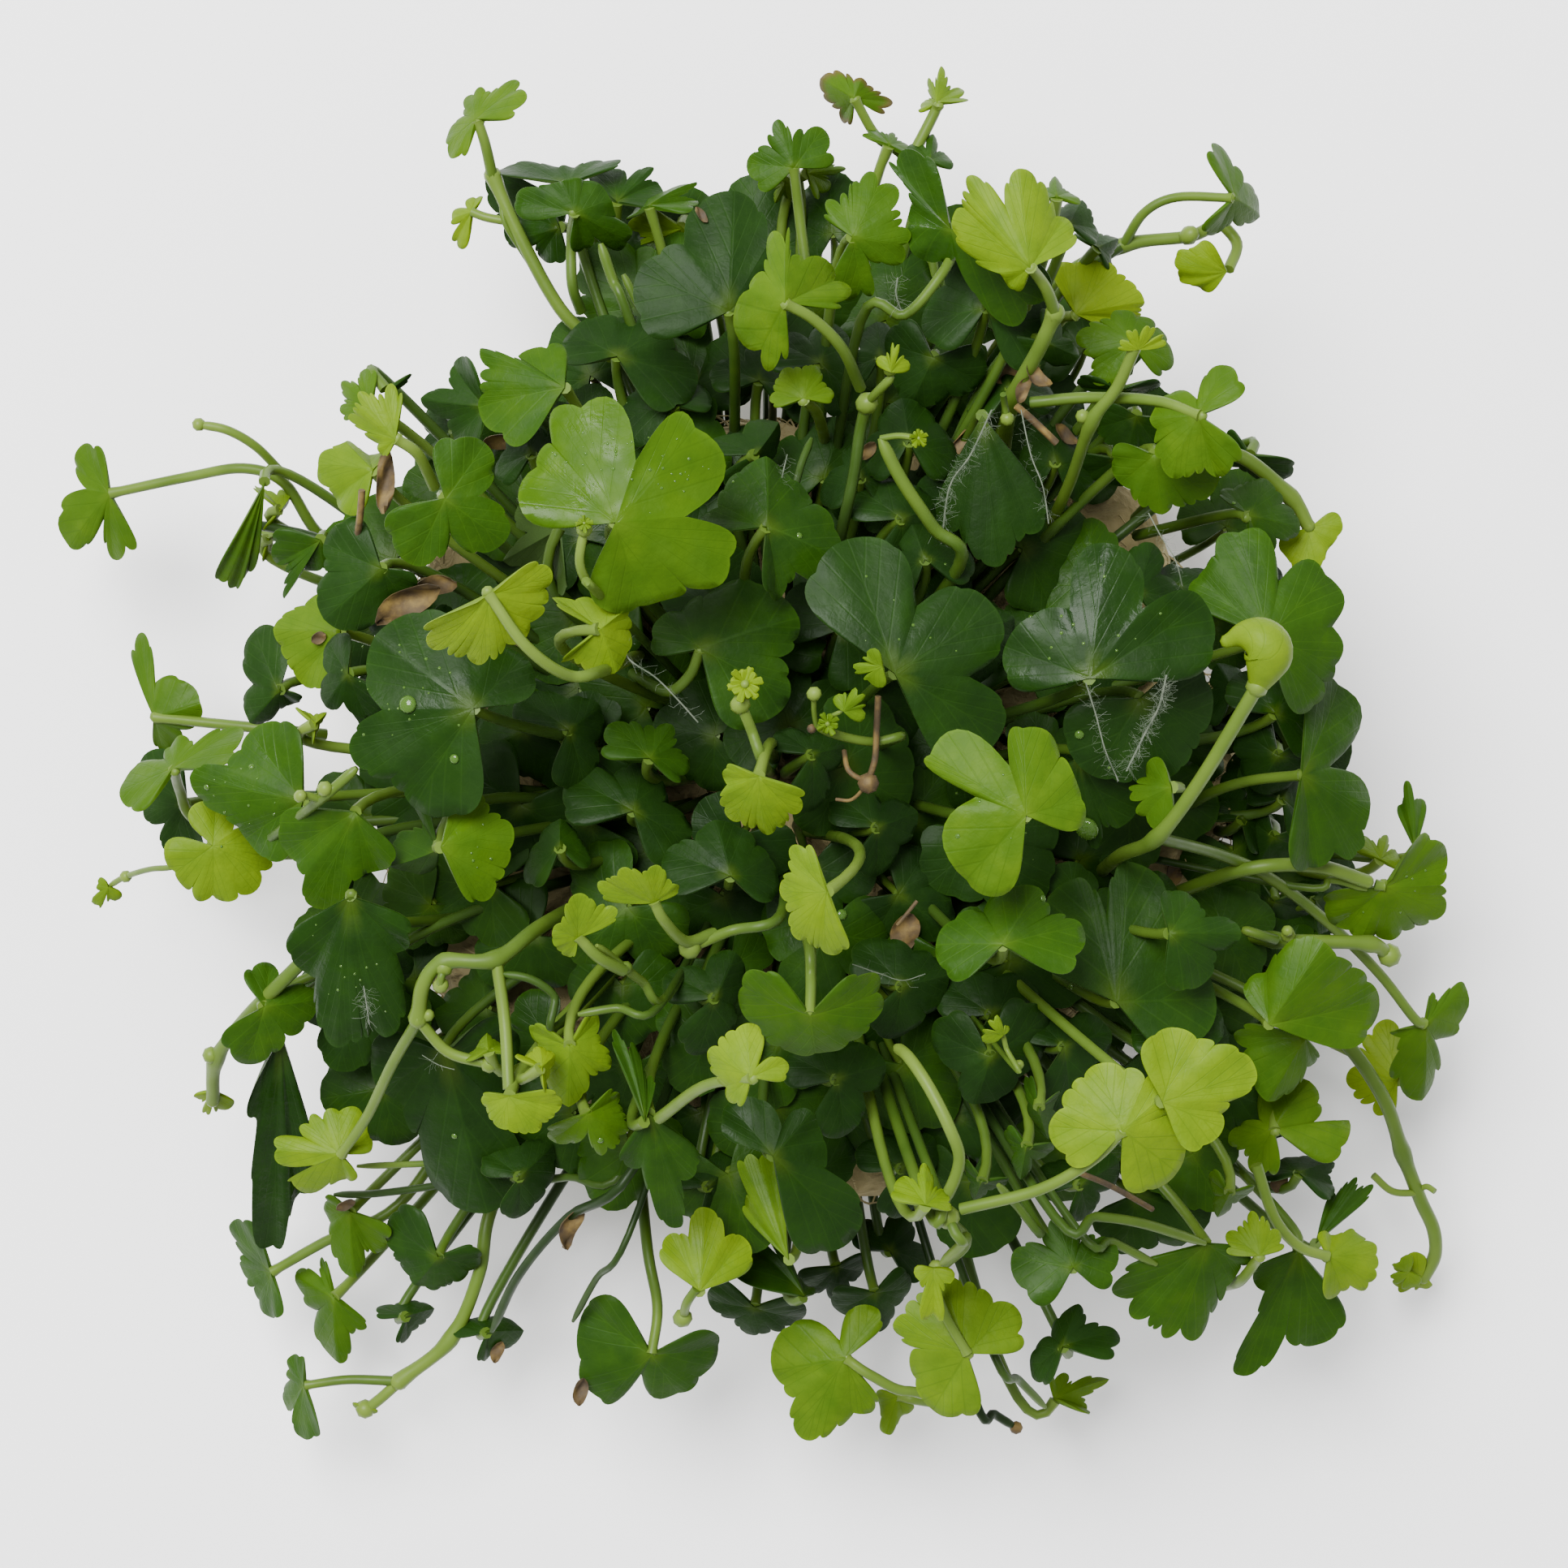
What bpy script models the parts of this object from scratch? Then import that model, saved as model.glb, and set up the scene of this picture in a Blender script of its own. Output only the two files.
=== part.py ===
"""Three-lobed pennywort: a clump of creeping stems and leaves on its flat-cut root pad.

Leaves and stems are laid out by where they show from straight above, in picture pixels, with
their height in millimetres. at() turns such a place into a point of the plant.
"""

import math

import bmesh
import bpy
import numpy as np
from mathutils import Matrix, Vector

MM = 0.001

SHARP_EDGE = math.radians(50.0)

# The view from above that gives each leaf its place
PICTURE_MIDDLE = 966.0
MM_PER_PIXEL = 0.06
CANOPY_HEIGHT = 36.0
EYE_ABOVE_CANOPY = 320.0

# Root pad, in millimetres
PAD_HALF_LENGTH = 32.5
PAD_HALF_WIDTH = 29.0
PAD_TOP = 20.0
PAD_SIDES = 24
GAP = 0.35

# Leaves and stems, in millimetres
BLADE_THICKNESS = 0.45
PETIOLE_RADIUS = 0.5
PETIOLE_SIDES = 4
STEM_SIDES = 5
LOBE_STEPS = (-1.0, -0.62, 0.0, 0.62, 1.0)
LOBE_ROUNDNESS = 0.42
SINUS_DEPTH = 0.5
BACK_ANGLE = 52.0
SMALL_LEAF = 6.5

LEAF_COLOURS = {
    "old": (0.035, 0.095, 0.018),
    "green": (0.07, 0.19, 0.012),
    "fresh": (0.16, 0.33, 0.02),
    "lime": (0.30, 0.42, 0.03),
}
STEM_COLOUR = (0.20, 0.33, 0.05)
PAD_COLOUR = (0.33, 0.24, 0.12)


def at(x, y, height):
    """The point, in millimetres, that shows at a picture place and lies at this height."""
    scale = MM_PER_PIXEL * (1.0 - (height - CANOPY_HEIGHT) / EYE_ABOVE_CANOPY)
    return Vector(((x - PICTURE_MIDDLE) * scale, (PICTURE_MIDDLE - y) * scale, height))


def plain_material(name, colour, roughness):
    material = bpy.data.materials.new(name)
    material.use_nodes = True
    shader = material.node_tree.nodes["Principled BSDF"]
    shader.inputs["Base Color"].default_value = (*colour, 1.0)
    shader.inputs["Roughness"].default_value = roughness
    shader.inputs["Metallic"].default_value = 0.0
    return material


def as_object(name, shape, colour, roughness=0.5):
    """Turn a bmesh in millimetres into a named object in metres, with its own material."""
    bmesh.ops.recalc_face_normals(shape, faces=shape.faces)
    bmesh.ops.triangulate(shape, faces=shape.faces)
    bmesh.ops.scale(shape, vec=(MM, MM, MM), verts=shape.verts)
    mesh = bpy.data.meshes.new(name)
    shape.to_mesh(mesh)
    shape.free()
    mesh.shade_smooth()
    mesh.set_sharp_from_angle(angle=SHARP_EDGE)
    thing = bpy.data.objects.new(name, mesh)
    bpy.context.scene.collection.objects.link(thing)
    mesh.materials.append(plain_material(name, colour, roughness))
    return thing


def fuse(body, extra):
    """Join a second closed solid to the body for good."""
    union = body.modifiers.new("fuse", "BOOLEAN")
    union.operation = "UNION"
    union.solver = "EXACT"
    union.object = extra
    view = bpy.context.evaluated_depsgraph_get()
    joined = bpy.data.meshes.new_from_object(body.evaluated_get(view))
    body.modifiers.remove(union)
    body.data = joined
    bpy.data.objects.remove(extra)


def smooth_path(points, steps):
    """Points on a rounded curve through the given ones, with steps pieces between two."""
    ends = [points[0] * 2 - points[1], *points, points[-1] * 2 - points[-2]]
    path = []
    for index in range(1, len(ends) - 2):
        before, start, stop, after = ends[index - 1:index + 3]
        for step in range(steps):
            t = step / steps
            path.append(0.5 * ((2 * start) + (stop - before) * t
                               + (2 * before - 5 * start + 4 * stop - after) * t * t
                               + (3 * start - before - 3 * stop + after) * t ** 3))
    return [*path, points[-1].copy()]


def tube(path, radii, sides):
    """A closed tube along a path, with a radius for each point of it."""
    shape = bmesh.new()
    rings = []
    side = Vector((0.31, 0.95, 0.05))
    for index, point in enumerate(path):
        ahead = (path[min(index + 1, len(path) - 1)] - path[max(index - 1, 0)]).normalized()
        side = (side - ahead * side.dot(ahead)).normalized()
        over = ahead.cross(side)
        ring = []
        for step in range(sides):
            angle = math.tau * step / sides
            offset = side * math.cos(angle) + over * math.sin(angle)
            ring.append(shape.verts.new(point + offset * radii[index]))
        rings.append(ring)
    for lower, upper in zip(rings, rings[1:]):
        for step in range(sides):
            after = (step + 1) % sides
            shape.faces.new((lower[step], lower[after], upper[after], upper[step]))
    shape.faces.new(rings[0][::-1])
    shape.faces.new(rings[-1])
    return shape


def knob(centre, radius, stretch=1.0):
    """A small bud or swollen node."""
    shape = bmesh.new()
    size = Matrix.Diagonal((radius, radius, radius * stretch, 1.0))
    bmesh.ops.create_icosphere(shape, subdivisions=1, radius=1.0,
                               matrix=Matrix.Translation(centre) @ size)
    return shape


def leaf_plane(junction, tips):
    """The leaf's own normal, its way along the middle lobe and its way across."""
    arms = [(tip - junction).normalized() for tip in tips]
    normal = arms[0].cross(arms[1]) + arms[1].cross(arms[2])
    if normal.z < 0:
        normal.negate()
    normal.normalize()
    along = (arms[1] - normal * arms[1].dot(normal)).normalized()
    return normal, along, normal.cross(along)


def blade(junction, tips, cup, back):
    """A thin closed leaf blade of three lobes that meet at the junction."""
    normal, along, across = leaf_plane(junction, tips)
    lobes = []
    for tip in tips:
        arm = tip - junction
        reach = math.hypot(arm.dot(along), arm.dot(across))
        turn = math.atan2(arm.dot(across), arm.dot(along))
        lobes.append((turn, reach, arm.dot(normal) / reach))
    turns, reaches, leans = zip(*sorted(lobes))
    outer = min(math.radians(back), (math.tau - turns[2] + turns[0]) * 0.48)
    edges = [turns[0] - outer, (turns[0] + turns[1]) / 2, (turns[1] + turns[2]) / 2,
             turns[2] + outer]
    shares = (0.55, 1.0) if max(reaches) > SMALL_LEAF else (1.0,)
    sheet = bmesh.new()
    centre = sheet.verts.new(junction)
    rows = []
    for lobe in range(3):
        for step in LOBE_STEPS[(1 if lobe else 0):]:
            side = int(step > 0)
            width = edges[lobe + side] - turns[lobe]
            turn = turns[lobe] + abs(math.sin(step * math.pi / 2)) * width
            near = reaches[min(max(lobe + (1 if side else -1), 0), 2)]
            low = SINUS_DEPTH * (reaches[lobe] + near) / 2
            full = max(math.cos(step * math.pi / 2), 0.0) ** LOBE_ROUNDNESS
            reach = low + (reaches[lobe] - low) * full
            way = along * math.cos(turn) + across * math.sin(turn)
            slope = np.interp(turn, turns, leans)
            arch = cup / max(reaches)
            length = np.interp(turn, turns, reaches)
            row = []
            for share in shares:
                run = reach * share
                rise = slope * run + arch * run * (length - run)
                row.append(sheet.verts.new(junction + way * run + normal * rise))
            rows.append(row)
    for first, second in zip(rows, rows[1:]):
        sheet.faces.new((centre, first[0], second[0]))
        if len(shares) > 1:
            sheet.faces.new((first[0], first[1], second[1], second[0]))
    return thickened(sheet, normal * (BLADE_THICKNESS / 2))


def thickened(sheet, offset):
    """A closed solid from an open sheet, half the thickness to each side of it."""
    solid = bmesh.new()
    top = {vert: solid.verts.new(vert.co + offset) for vert in sheet.verts}
    low = {vert: solid.verts.new(vert.co - offset) for vert in sheet.verts}
    for face in sheet.faces:
        solid.faces.new([top[vert] for vert in face.verts])
        solid.faces.new([low[vert] for vert in reversed(face.verts)])
    for edge in sheet.edges:
        if edge.is_boundary:
            loop = edge.link_loops[0]
            start = loop.vert
            stop = loop.link_loop_next.vert
            solid.faces.new((top[stop], top[start], low[start], low[stop]))
    sheet.free()
    return solid


def pad_point(angle, height):
    """A point on the pad's side, which leans and bulges a little."""
    wave = 1.0 + 0.025 * math.sin(3 * angle + 0.8) + 0.018 * math.sin(5 * angle + 2.1)
    bulge = 1.0 - 0.05 * abs(height / PAD_TOP - 0.45) ** 1.5
    return Vector((PAD_HALF_LENGTH * wave * bulge * math.cos(angle),
                   PAD_HALF_WIDTH * wave * bulge * math.sin(angle), height))


def foot_for(junction):
    """Where a hidden petiole meets the pad: on its top, or on its side under low leaves."""
    across = Vector((junction.x / PAD_HALF_LENGTH, junction.y / PAD_HALF_WIDTH, 0.0))
    if junction.z > PAD_TOP + 5.0:
        inward = min(0.5, 0.74 / max(across.length, 0.01))
        return Vector((junction.x * inward, junction.y * inward, PAD_TOP + GAP))
    angle = math.atan2(across.y, across.x)
    side = pad_point(angle, min(junction.z - 2.0, 12.0))
    return side + Vector((math.cos(angle), math.sin(angle), 0.0)) * (GAP + PETIOLE_RADIUS)


def petiole_path(junction, normal, via, foot):
    """The stalk's course from the blade to its foot, through the places that show."""
    start = junction - normal * 0.05
    points = [start, *via, foot]
    if via:
        return smooth_path(points, 2)
    drop = (start - foot).length
    lead = [start, start - normal * drop * 0.35, foot + Vector((0.0, 0.0, drop * 0.3)), foot]
    path = []
    for step in range(5):
        t = step / 4
        weights = ((1 - t) ** 3, 3 * t * (1 - t) ** 2, 3 * t * t * (1 - t), t ** 3)
        path.append(sum((point * weight for point, weight in zip(lead, weights)), Vector()))
    return path


def leaf(name, junction, ends, look, cup=0.12, back=BACK_ANGLE, via=(), foot=None, stalk=1.0):
    """One leaf with its petiole; ends are the three lobe tips with their rise in millimetres."""
    heart = at(*junction)
    tips = [at(x, y, junction[2] + rise) for x, y, rise in ends]
    solid = as_object(name, blade(heart, tips, cup, back), LEAF_COLOURS[look])
    normal = leaf_plane(heart, tips)[0]
    course = [at(*place) for place in via]
    end = at(*foot) if foot else foot_for(course[-1] if course else heart)
    path = petiole_path(heart, normal, course, end)
    radii = [PETIOLE_RADIUS * stalk] * len(path)
    fuse(solid, as_object("petiole", tube(path, radii, PETIOLE_SIDES), STEM_COLOUR))
    return solid


def stem(name, course, radius, nodes=(), branches=(), buds=(), young=()):
    """A creeping stem with its swollen nodes, side stalks, buds and small young leaves."""
    path = smooth_path([at(*place) for place in course], 2)
    radii = [radius] * len(path)
    for node in nodes:
        radii[node * 2] = radius * 1.55
    solid = as_object(name, tube(path, radii, STEM_SIDES), STEM_COLOUR)
    for side_course, side_radius in branches:
        side_path = smooth_path([at(*place) for place in side_course], 2)
        side = tube(side_path, [side_radius] * len(side_path), PETIOLE_SIDES)
        fuse(solid, as_object("side", side, STEM_COLOUR))
    for place, size, stretch in buds:
        fuse(solid, as_object("bud", knob(at(*place), size, stretch), STEM_COLOUR))
    for junction, ends, cup, back in young:
        heart = at(*junction)
        tips = [at(x, y, junction[2] + rise) for x, y, rise in ends]
        fuse(solid, as_object("young", blade(heart, tips, cup, back), STEM_COLOUR))
    return solid


def root_pad():
    """The block of growing wool, cut flat underneath and lumpy on top."""
    shape = bmesh.new()
    heights = (0.0, PAD_TOP * 0.45, PAD_TOP * 0.85)
    rings = []
    for height in heights:
        ring = []
        for step in range(PAD_SIDES):
            ring.append(shape.verts.new(pad_point(math.tau * step / PAD_SIDES, height)))
        rings.append(ring)
    for share, height in ((0.93, PAD_TOP), (0.5, PAD_TOP)):
        ring = []
        for step in range(PAD_SIDES):
            angle = math.tau * step / PAD_SIDES
            edge = pad_point(angle, PAD_TOP) * share
            lump = 0.5 * math.sin(3 * angle + 4 * share) - 0.5
            ring.append(shape.verts.new((edge.x, edge.y, height + lump)))
        rings.append(ring)
    for lower, upper in zip(rings, rings[1:]):
        for step in range(PAD_SIDES):
            after = (step + 1) % PAD_SIDES
            shape.faces.new((lower[step], lower[after], upper[after], upper[step]))
    shape.faces.new(rings[0][::-1])
    middle = shape.verts.new((0.0, 0.0, PAD_TOP - 0.5))
    for step in range(PAD_SIDES):
        shape.faces.new((rings[-1][step], rings[-1][(step + 1) % PAD_SIDES], middle))
    return as_object("root_pad", shape, PAD_COLOUR, 0.95)


def upper_leaves():
    leaf("leaf_01", (588, 148, 27), ((646, 104, -1), (584, 112, -5), (550, 184, -3)), "fresh",
         via=((598, 178, 26.4),), foot=(604, 198, 25.6))
    leaf("leaf_02", (722, 270, 31), ((640, 250, -2), (700, 222, -1), (776, 298, -3)), "green",
         cup=0.2, back=66, via=((703, 310, 28.5), (704, 350, 27)), foot=(716, 384, 25.4))
    leaf("leaf_03", (898, 384, 37), ((786, 335, -1), (905, 234, -2), (962, 335, -2)), "old",
         via=((905, 440, 33),), foot=(905, 560, 20.6))
    leaf("leaf_04", (978, 206, 24), ((922, 222, -1), (955, 152, 0), (1016, 162, -1)), "green",
         cup=0.05, back=66, via=((986, 275, 22.5), (998, 380, 22)), foot=(1000, 505, 20.6))
    leaf("leaf_05", (1003, 392, 45), ((912, 436, -4), (972, 284, -1), (1042, 350, -4)), "fresh",
         via=((1038, 428, 42),), foot=(1060, 478, 38))
    leaf("leaf_06", (1052, 290, 39), ((1080, 220, -1), (1120, 310, -1), (1064, 366, -3)), "green",
         back=60)
    leaf("leaf_07", (1053, 113, 21), ((1010, 98, -2), (1032, 146, -4), (1100, 126, -2)), "green",
         cup=0.2, via=((1080, 168, 19.5), (1120, 205, 19), (1150, 330, 19)), foot=(1150, 470, 16))
    leaf("leaf_08", (1258, 300, 46), ((1178, 260, -2), (1258, 209, -1), (1320, 294, -3)), "fresh",
         back=76, via=((1278, 338, 44.5),), foot=(1297, 372, 43))
    leaf("leaf_09", (1325, 388, 30), ((1318, 320, -1), (1396, 344, -1), (1410, 394, -2)), "lime",
         via=((1300, 404, 28),), foot=(1240, 520, 20.6))
    leaf("leaf_10", (1392, 428, 35), ((1332, 430, -1), (1365, 384, -1), (1444, 442, -2)), "green",
         back=72)
    leaf("leaf_11", (1478, 522, 43), ((1500, 450, -1), (1420, 512, -2), (1468, 596, -2)), "fresh",
         back=66, via=((1425, 494, 41), (1340, 490, 38)), foot=(1276, 491, 36.6))
    leaf("leaf_12", (1520, 244, 29), ((1502, 178, -2), (1556, 268, -4), (1495, 288, -3)), "green",
         cup=0.05, via=((1450, 243, 27), (1410, 262, 26)), foot=(1392, 284, 25.4), stalk=0.9)


def right_leaves():
    leaf("leaf_13", (1560, 785, 37), ((1474, 698, -2), (1638, 702, -2), (1650, 838, -3)), "green")
    leaf("leaf_14", (1603, 955, 33), ((1650, 846, -4), (1684, 1020, -3), (1612, 1064, -2)), "old",
         via=((1540, 962, 30), (1490, 978, 27)), foot=(1436, 1010, 20.8))
    leaf("leaf_15", (1706, 1092, 26), ((1772, 1050, -2), (1752, 1142, -3), (1652, 1138, -4)), "green",
         back=60, via=((1698, 1091, 26),), foot=(1694, 1090, 26))
    leaf("leaf_16", (1600, 1268, 34), ((1550, 1215, -2), (1622, 1160, -1), (1700, 1225, -2)), "green",
         back=60)
    leaf("leaf_17", (1755, 1262, 17), ((1716, 1282, -1), (1790, 1222, -1), (1762, 1352, -4)), "green",
         via=((1742, 1254, 17.4), (1700, 1200, 19), (1620, 1128, 21), (1530, 1066, 21)),
         foot=(1478, 1052, 17))
    leaf("leaf_18", (1588, 1374, 24), ((1516, 1410, -2), (1618, 1328, -1), (1660, 1382, -2)), "fresh",
         back=60, via=((1560, 1330, 21),), foot=(1470, 1210, 15))
    leaf("leaf_19", (1383, 1393, 49), ((1292, 1376, -2), (1520, 1306, -2), (1450, 1438, -3)), "lime",
         via=((1345, 1430, 47), (1280, 1466, 45)), foot=(1184, 1490, 43))
    leaf("leaf_20", (1608, 1546, 22), ((1550, 1575, -1), (1530, 1694, -4), (1624, 1656, -3)), "green",
         via=((1582, 1500, 20.5),), foot=(1430, 1340, 12))
    leaf("leaf_21", (1478, 1534, 30), ((1536, 1556, -2), (1447, 1646, -3), (1386, 1602, -2)), "green")
    leaf("leaf_22", (1322, 1562, 33), ((1246, 1548, -1), (1300, 1500, -1), (1374, 1532, -1)), "old",
         back=74)


def centre_leaves():
    leaf("leaf_23", (755, 645, 50), ((684, 520, -2), (872, 556, -2), (858, 742, -3)), "fresh")
    leaf("leaf_24", (560, 622, 47), ((592, 545, -1), (624, 670, -2), (510, 690, -2)), "green",
         back=58)
    leaf("leaf_25", (600, 728, 55), ((538, 796, -5), (606, 814, -7), (677, 704, -3)), "lime",
         via=((648, 796, 52.5), (700, 832, 50.5), (744, 826, 46)), foot=(800, 800, 20.4))
    leaf("leaf_26", (586, 870, 45), ((645, 800, -2), (458, 794, -2), (468, 952, -3)), "old",
         back=64)
    leaf("leaf_27", (1102, 830, 43), ((1035, 682, -2), (1212, 722, -2), (1250, 890, -3)), "old",
         back=44)
    leaf("leaf_28", (1347, 832, 46), ((1246, 776, -2), (1362, 670, -1), (1478, 756, -2)), "old",
         back=60)
    leaf("leaf_29", (1262, 1005, 50), ((1172, 1064, -2), (1152, 925, -1), (1320, 926, -2)), "fresh",
         back=56)
    leaf("leaf_30", (1020, 1106, 52), ((992, 1040, -3), (958, 1098, -5), (1008, 1172, -4)), "lime",
         cup=0.2)
    leaf("leaf_31", (999, 1242, 45), ((914, 1214, -2), (1002, 1298, -3), (1092, 1232, -2)), "green",
         back=60, via=((996, 1196, 43),), foot=(975, 1110, 20.2))


def left_leaves():
    leaf("leaf_32", (138, 612, 17), ((104, 548, -1), (92, 682, -3), (134, 694, -3)), "fresh",
         back=58, via=((230, 588, 18.5), (300, 577, 20), (350, 595, 20), (390, 655, 18)),
         foot=(440, 690, 15))
    leaf("leaf_33", (192, 887, 14), ((172, 780, -4), (238, 862, 1), (205, 925, -3)), "green",
         cup=0.05, back=30, via=((270, 892, 15), (340, 899, 15.5)), foot=(402, 905, 14))
    leaf("leaf_34", (214, 948, 21), ((149, 978, -3), (226, 908, -4), (297, 896, -2)), "fresh",
         cup=0.05, back=50, via=((222, 975, 17), (240, 1010, 15), (320, 1050, 13)),
         foot=(400, 1050, 12))
    leaf("leaf_35", (366, 985, 34), ((240, 968, -3), (305, 901, -2), (312, 1036, -3)), "green")
    leaf("leaf_36", (446, 1002, 38), ((352, 1042, -3), (382, 1114, -4), (458, 1094, -2)), "green",
         back=56)
    leaf("leaf_37", (268, 1056, 28), ((228, 1003, -1), (341, 1050, -2), (268, 1114, -2)), "lime",
         back=66)
    leaf("leaf_38", (345, 1268, 26), ((310, 1360, -5), (340, 1548, -12), (372, 1490, -9)), "old",
         cup=0.05, back=24)
    leaf("leaf_39", (432, 1108, 40), ((362, 1180, -4), (414, 1286, -5), (496, 1162, -2)), "old",
         cup=0.2, via=((480, 1136, 33),), foot=(610, 1125, 20.4))
    leaf("leaf_40", (548, 1296, 30), ((640, 1300, -2), (600, 1496, -6), (470, 1340, -3)), "old",
         back=56)
    leaf("leaf_41", (424, 1412, 26), ((396, 1366, -1), (336, 1412, -1), (392, 1463, -4)), "fresh",
         back=62, via=((452, 1360, 30), (480, 1308, 34)), foot=(503, 1278, 36.4))


def lower_leaves():
    leaf("leaf_42", (803, 1668, 20), ((722, 1622, -2), (735, 1726, -3), (882, 1672, -3)), "green",
         back=60, via=((810, 1610, 19.5), (798, 1540, 19)), foot=(786, 1420, 14))
    leaf("leaf_43", (1042, 1672, 20), ((1078, 1616, -1), (953, 1690, -2), (1020, 1770, -4)), "green",
         back=64, via=((1074, 1695, 20), (1120, 1712, 19), (1180, 1690, 17)), foot=(1190, 1420, 13))
    leaf("leaf_44", (1187, 1668, 27), ((1232, 1582, -1), (1112, 1630, -2), (1158, 1736, -3)), "fresh",
         back=66, via=((1162, 1615, 27.5), (1152, 1572, 29), (1190, 1532, 33)),
         foot=(1172, 1506, 37.6))
    leaf("leaf_45", (335, 1567, 13), ((281, 1511, -3), (298, 1560, -6), (324, 1619, -3)), "green",
         cup=0.03, via=((400, 1530, 14), (490, 1485, 15)), foot=(566, 1380, 13))
    leaf("leaf_46", (376, 1707, 12), ((358, 1671, -2), (352, 1735, -5), (368, 1769, -3)), "fresh",
         cup=0.03, via=((430, 1700, 12.5),), foot=(474, 1701, 13), stalk=0.9)
    leaf("leaf_47", (858, 1588, 30), ((829, 1528, -1), (870, 1489, -1), (917, 1524, -2)), "lime",
         back=60)


def stems():
    stem("stem_01", ((607, 216, 24.8), (640, 290, 24.4), (690, 380, 23.6), (740, 430, 22.6),
                     (790, 505, 20.8)), 0.7, nodes=(0,),
         branches=((((634, 274, 24.4), (600, 268, 24.2), (581, 261, 24)), 0.35),),
         young=(((582, 262, 24), ((588, 240, -1), (553, 272, -1), (560, 303, -2)), 0.05, 30),))
    stem("stem_02", ((1300, 386, 41.6), (1280, 430, 39.5), (1248, 492, 35), (1236, 560, 26),
                     (1232, 600, 20.6)), 0.62, nodes=(0, 2))
    stem("stem_03", ((1506, 266, 22.6), (1470, 290, 23.6), (1382, 303, 24), (1296, 352, 24),
                     (1240, 440, 22), (1215, 520, 20.7)), 0.62, nodes=(2,),
         branches=((((1500, 270, 22.8), (1524, 300, 23), (1512, 330, 24.5),
                     (1490, 342, 26)), 0.5),),
         young=(((1492, 340, 26), ((1448, 332, -2), (1478, 302, -1), (1462, 352, -3)), 0.3, 60),))
    stem("stem_04", ((1398, 430, 43), (1376, 478, 41), (1345, 520, 39), (1320, 590, 33),
                     (1292, 655, 26), (1284, 700, 20.7)), 0.58, nodes=(2,),
         buds=(((1333, 514, 39), 0.9, 1.0),),
         young=(((1400, 426, 43.2), ((1378, 424, 0), (1434, 414, 0), (1405, 441, -1)), 0.1, 60),))
    stem("stem_05", ((1612, 648, 29.5), (1590, 612, 30), (1522, 560, 31), (1460, 580, 29),
                     (1400, 640, 20.8)), 0.6, nodes=(1,),
         young=(((1612, 650, 29.5), ((1650, 650, -1), (1600, 700, -2), (1584, 686, -2)), 0.2, 60),))
    stem("stem_06", ((1553, 830, 49.2), (1480, 960, 44), (1425, 1032, 40), (1380, 1054, 34),
                     (1350, 1080, 20.7)), 0.72, nodes=(2,),
         young=(((1550, 836, 49.5), ((1510, 788, 1), (1552, 764, 2), (1590, 802, -1)), 0.3, 40),))
    stem("stem_07", ((1684, 1086, 26.6), (1620, 1067, 28.6), (1530, 1072, 29), (1420, 1112, 20.9)),
         0.6)
    stem("stem_08", ((1712, 1177, 22.5), (1688, 1163, 24), (1620, 1160, 25), (1570, 1158, 24),
                     (1500, 1146, 19)), 0.6, nodes=(1, 3),
         buds=(((1712, 1177, 22.5), 0.95, 1.1), ((1587, 1152, 25.2), 0.6, 1.0)))
    stem("stem_09", ((1752, 1562, 6), (1762, 1525, 8), (1750, 1490, 10), (1722, 1420, 13),
                     (1700, 1368, 16), (1648, 1285, 18), (1560, 1200, 17), (1500, 1150, 14)), 0.68,
         nodes=(3,),
         branches=((((1744, 1468, 11.2), (1712, 1462, 12), (1692, 1448, 12.5)), 0.4),),
         young=(((1750, 1562, 6), ((1722, 1545, 1), (1712, 1590, -1), (1752, 1598, -1)), 0.1, 60),))
    stem("stem_10", ((515, 1255, 38), (522, 1212, 39.5), (548, 1185, 40), (610, 1182, 40),
                     (665, 1142, 36), (740, 1100, 20.6)), 0.62, nodes=(0, 2, 3),
         branches=((((612, 1186, 40), (622, 1260, 40), (627, 1342, 41)), 0.45),
                   (((516, 1257, 38), (552, 1296, 37), (600, 1310, 37)), 0.42)),
         buds=(((547, 1192, 40), 0.7, 1.0), ((603, 1311, 37), 0.7, 1.0)))
    stem("stem_11", ((492, 1702, 13), (555, 1650, 14), (590, 1570, 15), (602, 1500, 15),
                     (640, 1400, 13)), 0.6, nodes=(0, 1),
         branches=((((498, 1697, 13), (470, 1722, 12.5), (452, 1736, 12)), 0.45),),
         buds=(((450, 1736, 12), 0.8, 1.0),))
    stem("stem_12", ((262, 1356, 17), (266, 1306, 21), (300, 1258, 25), (345, 1212, 28),
                     (400, 1160, 28), (460, 1120, 20.6)), 0.6, nodes=(1,),
         buds=(((260, 1300, 21.5), 0.7, 1.0),),
         young=(((262, 1344, 17), ((246, 1358, -1), (252, 1374, -2), (270, 1370, -2)), 0.1, 50),))


for thing in list(bpy.data.objects):
    bpy.data.objects.remove(thing)

root_pad()
upper_leaves()
right_leaves()
centre_leaves()
left_leaves()
lower_leaves()
stems()
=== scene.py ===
"""Three-lobed pennywort on its root pad, dressed with fine leaves, stems, roots and water drops.

Places are picture pixels from straight above, with a height in millimetres; at() turns them
into points of the plant. Shapes are made in millimetres and become metres in as_piece().
"""

import math
import random

import bpy
import numpy as np
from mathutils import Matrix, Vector, noise


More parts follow.
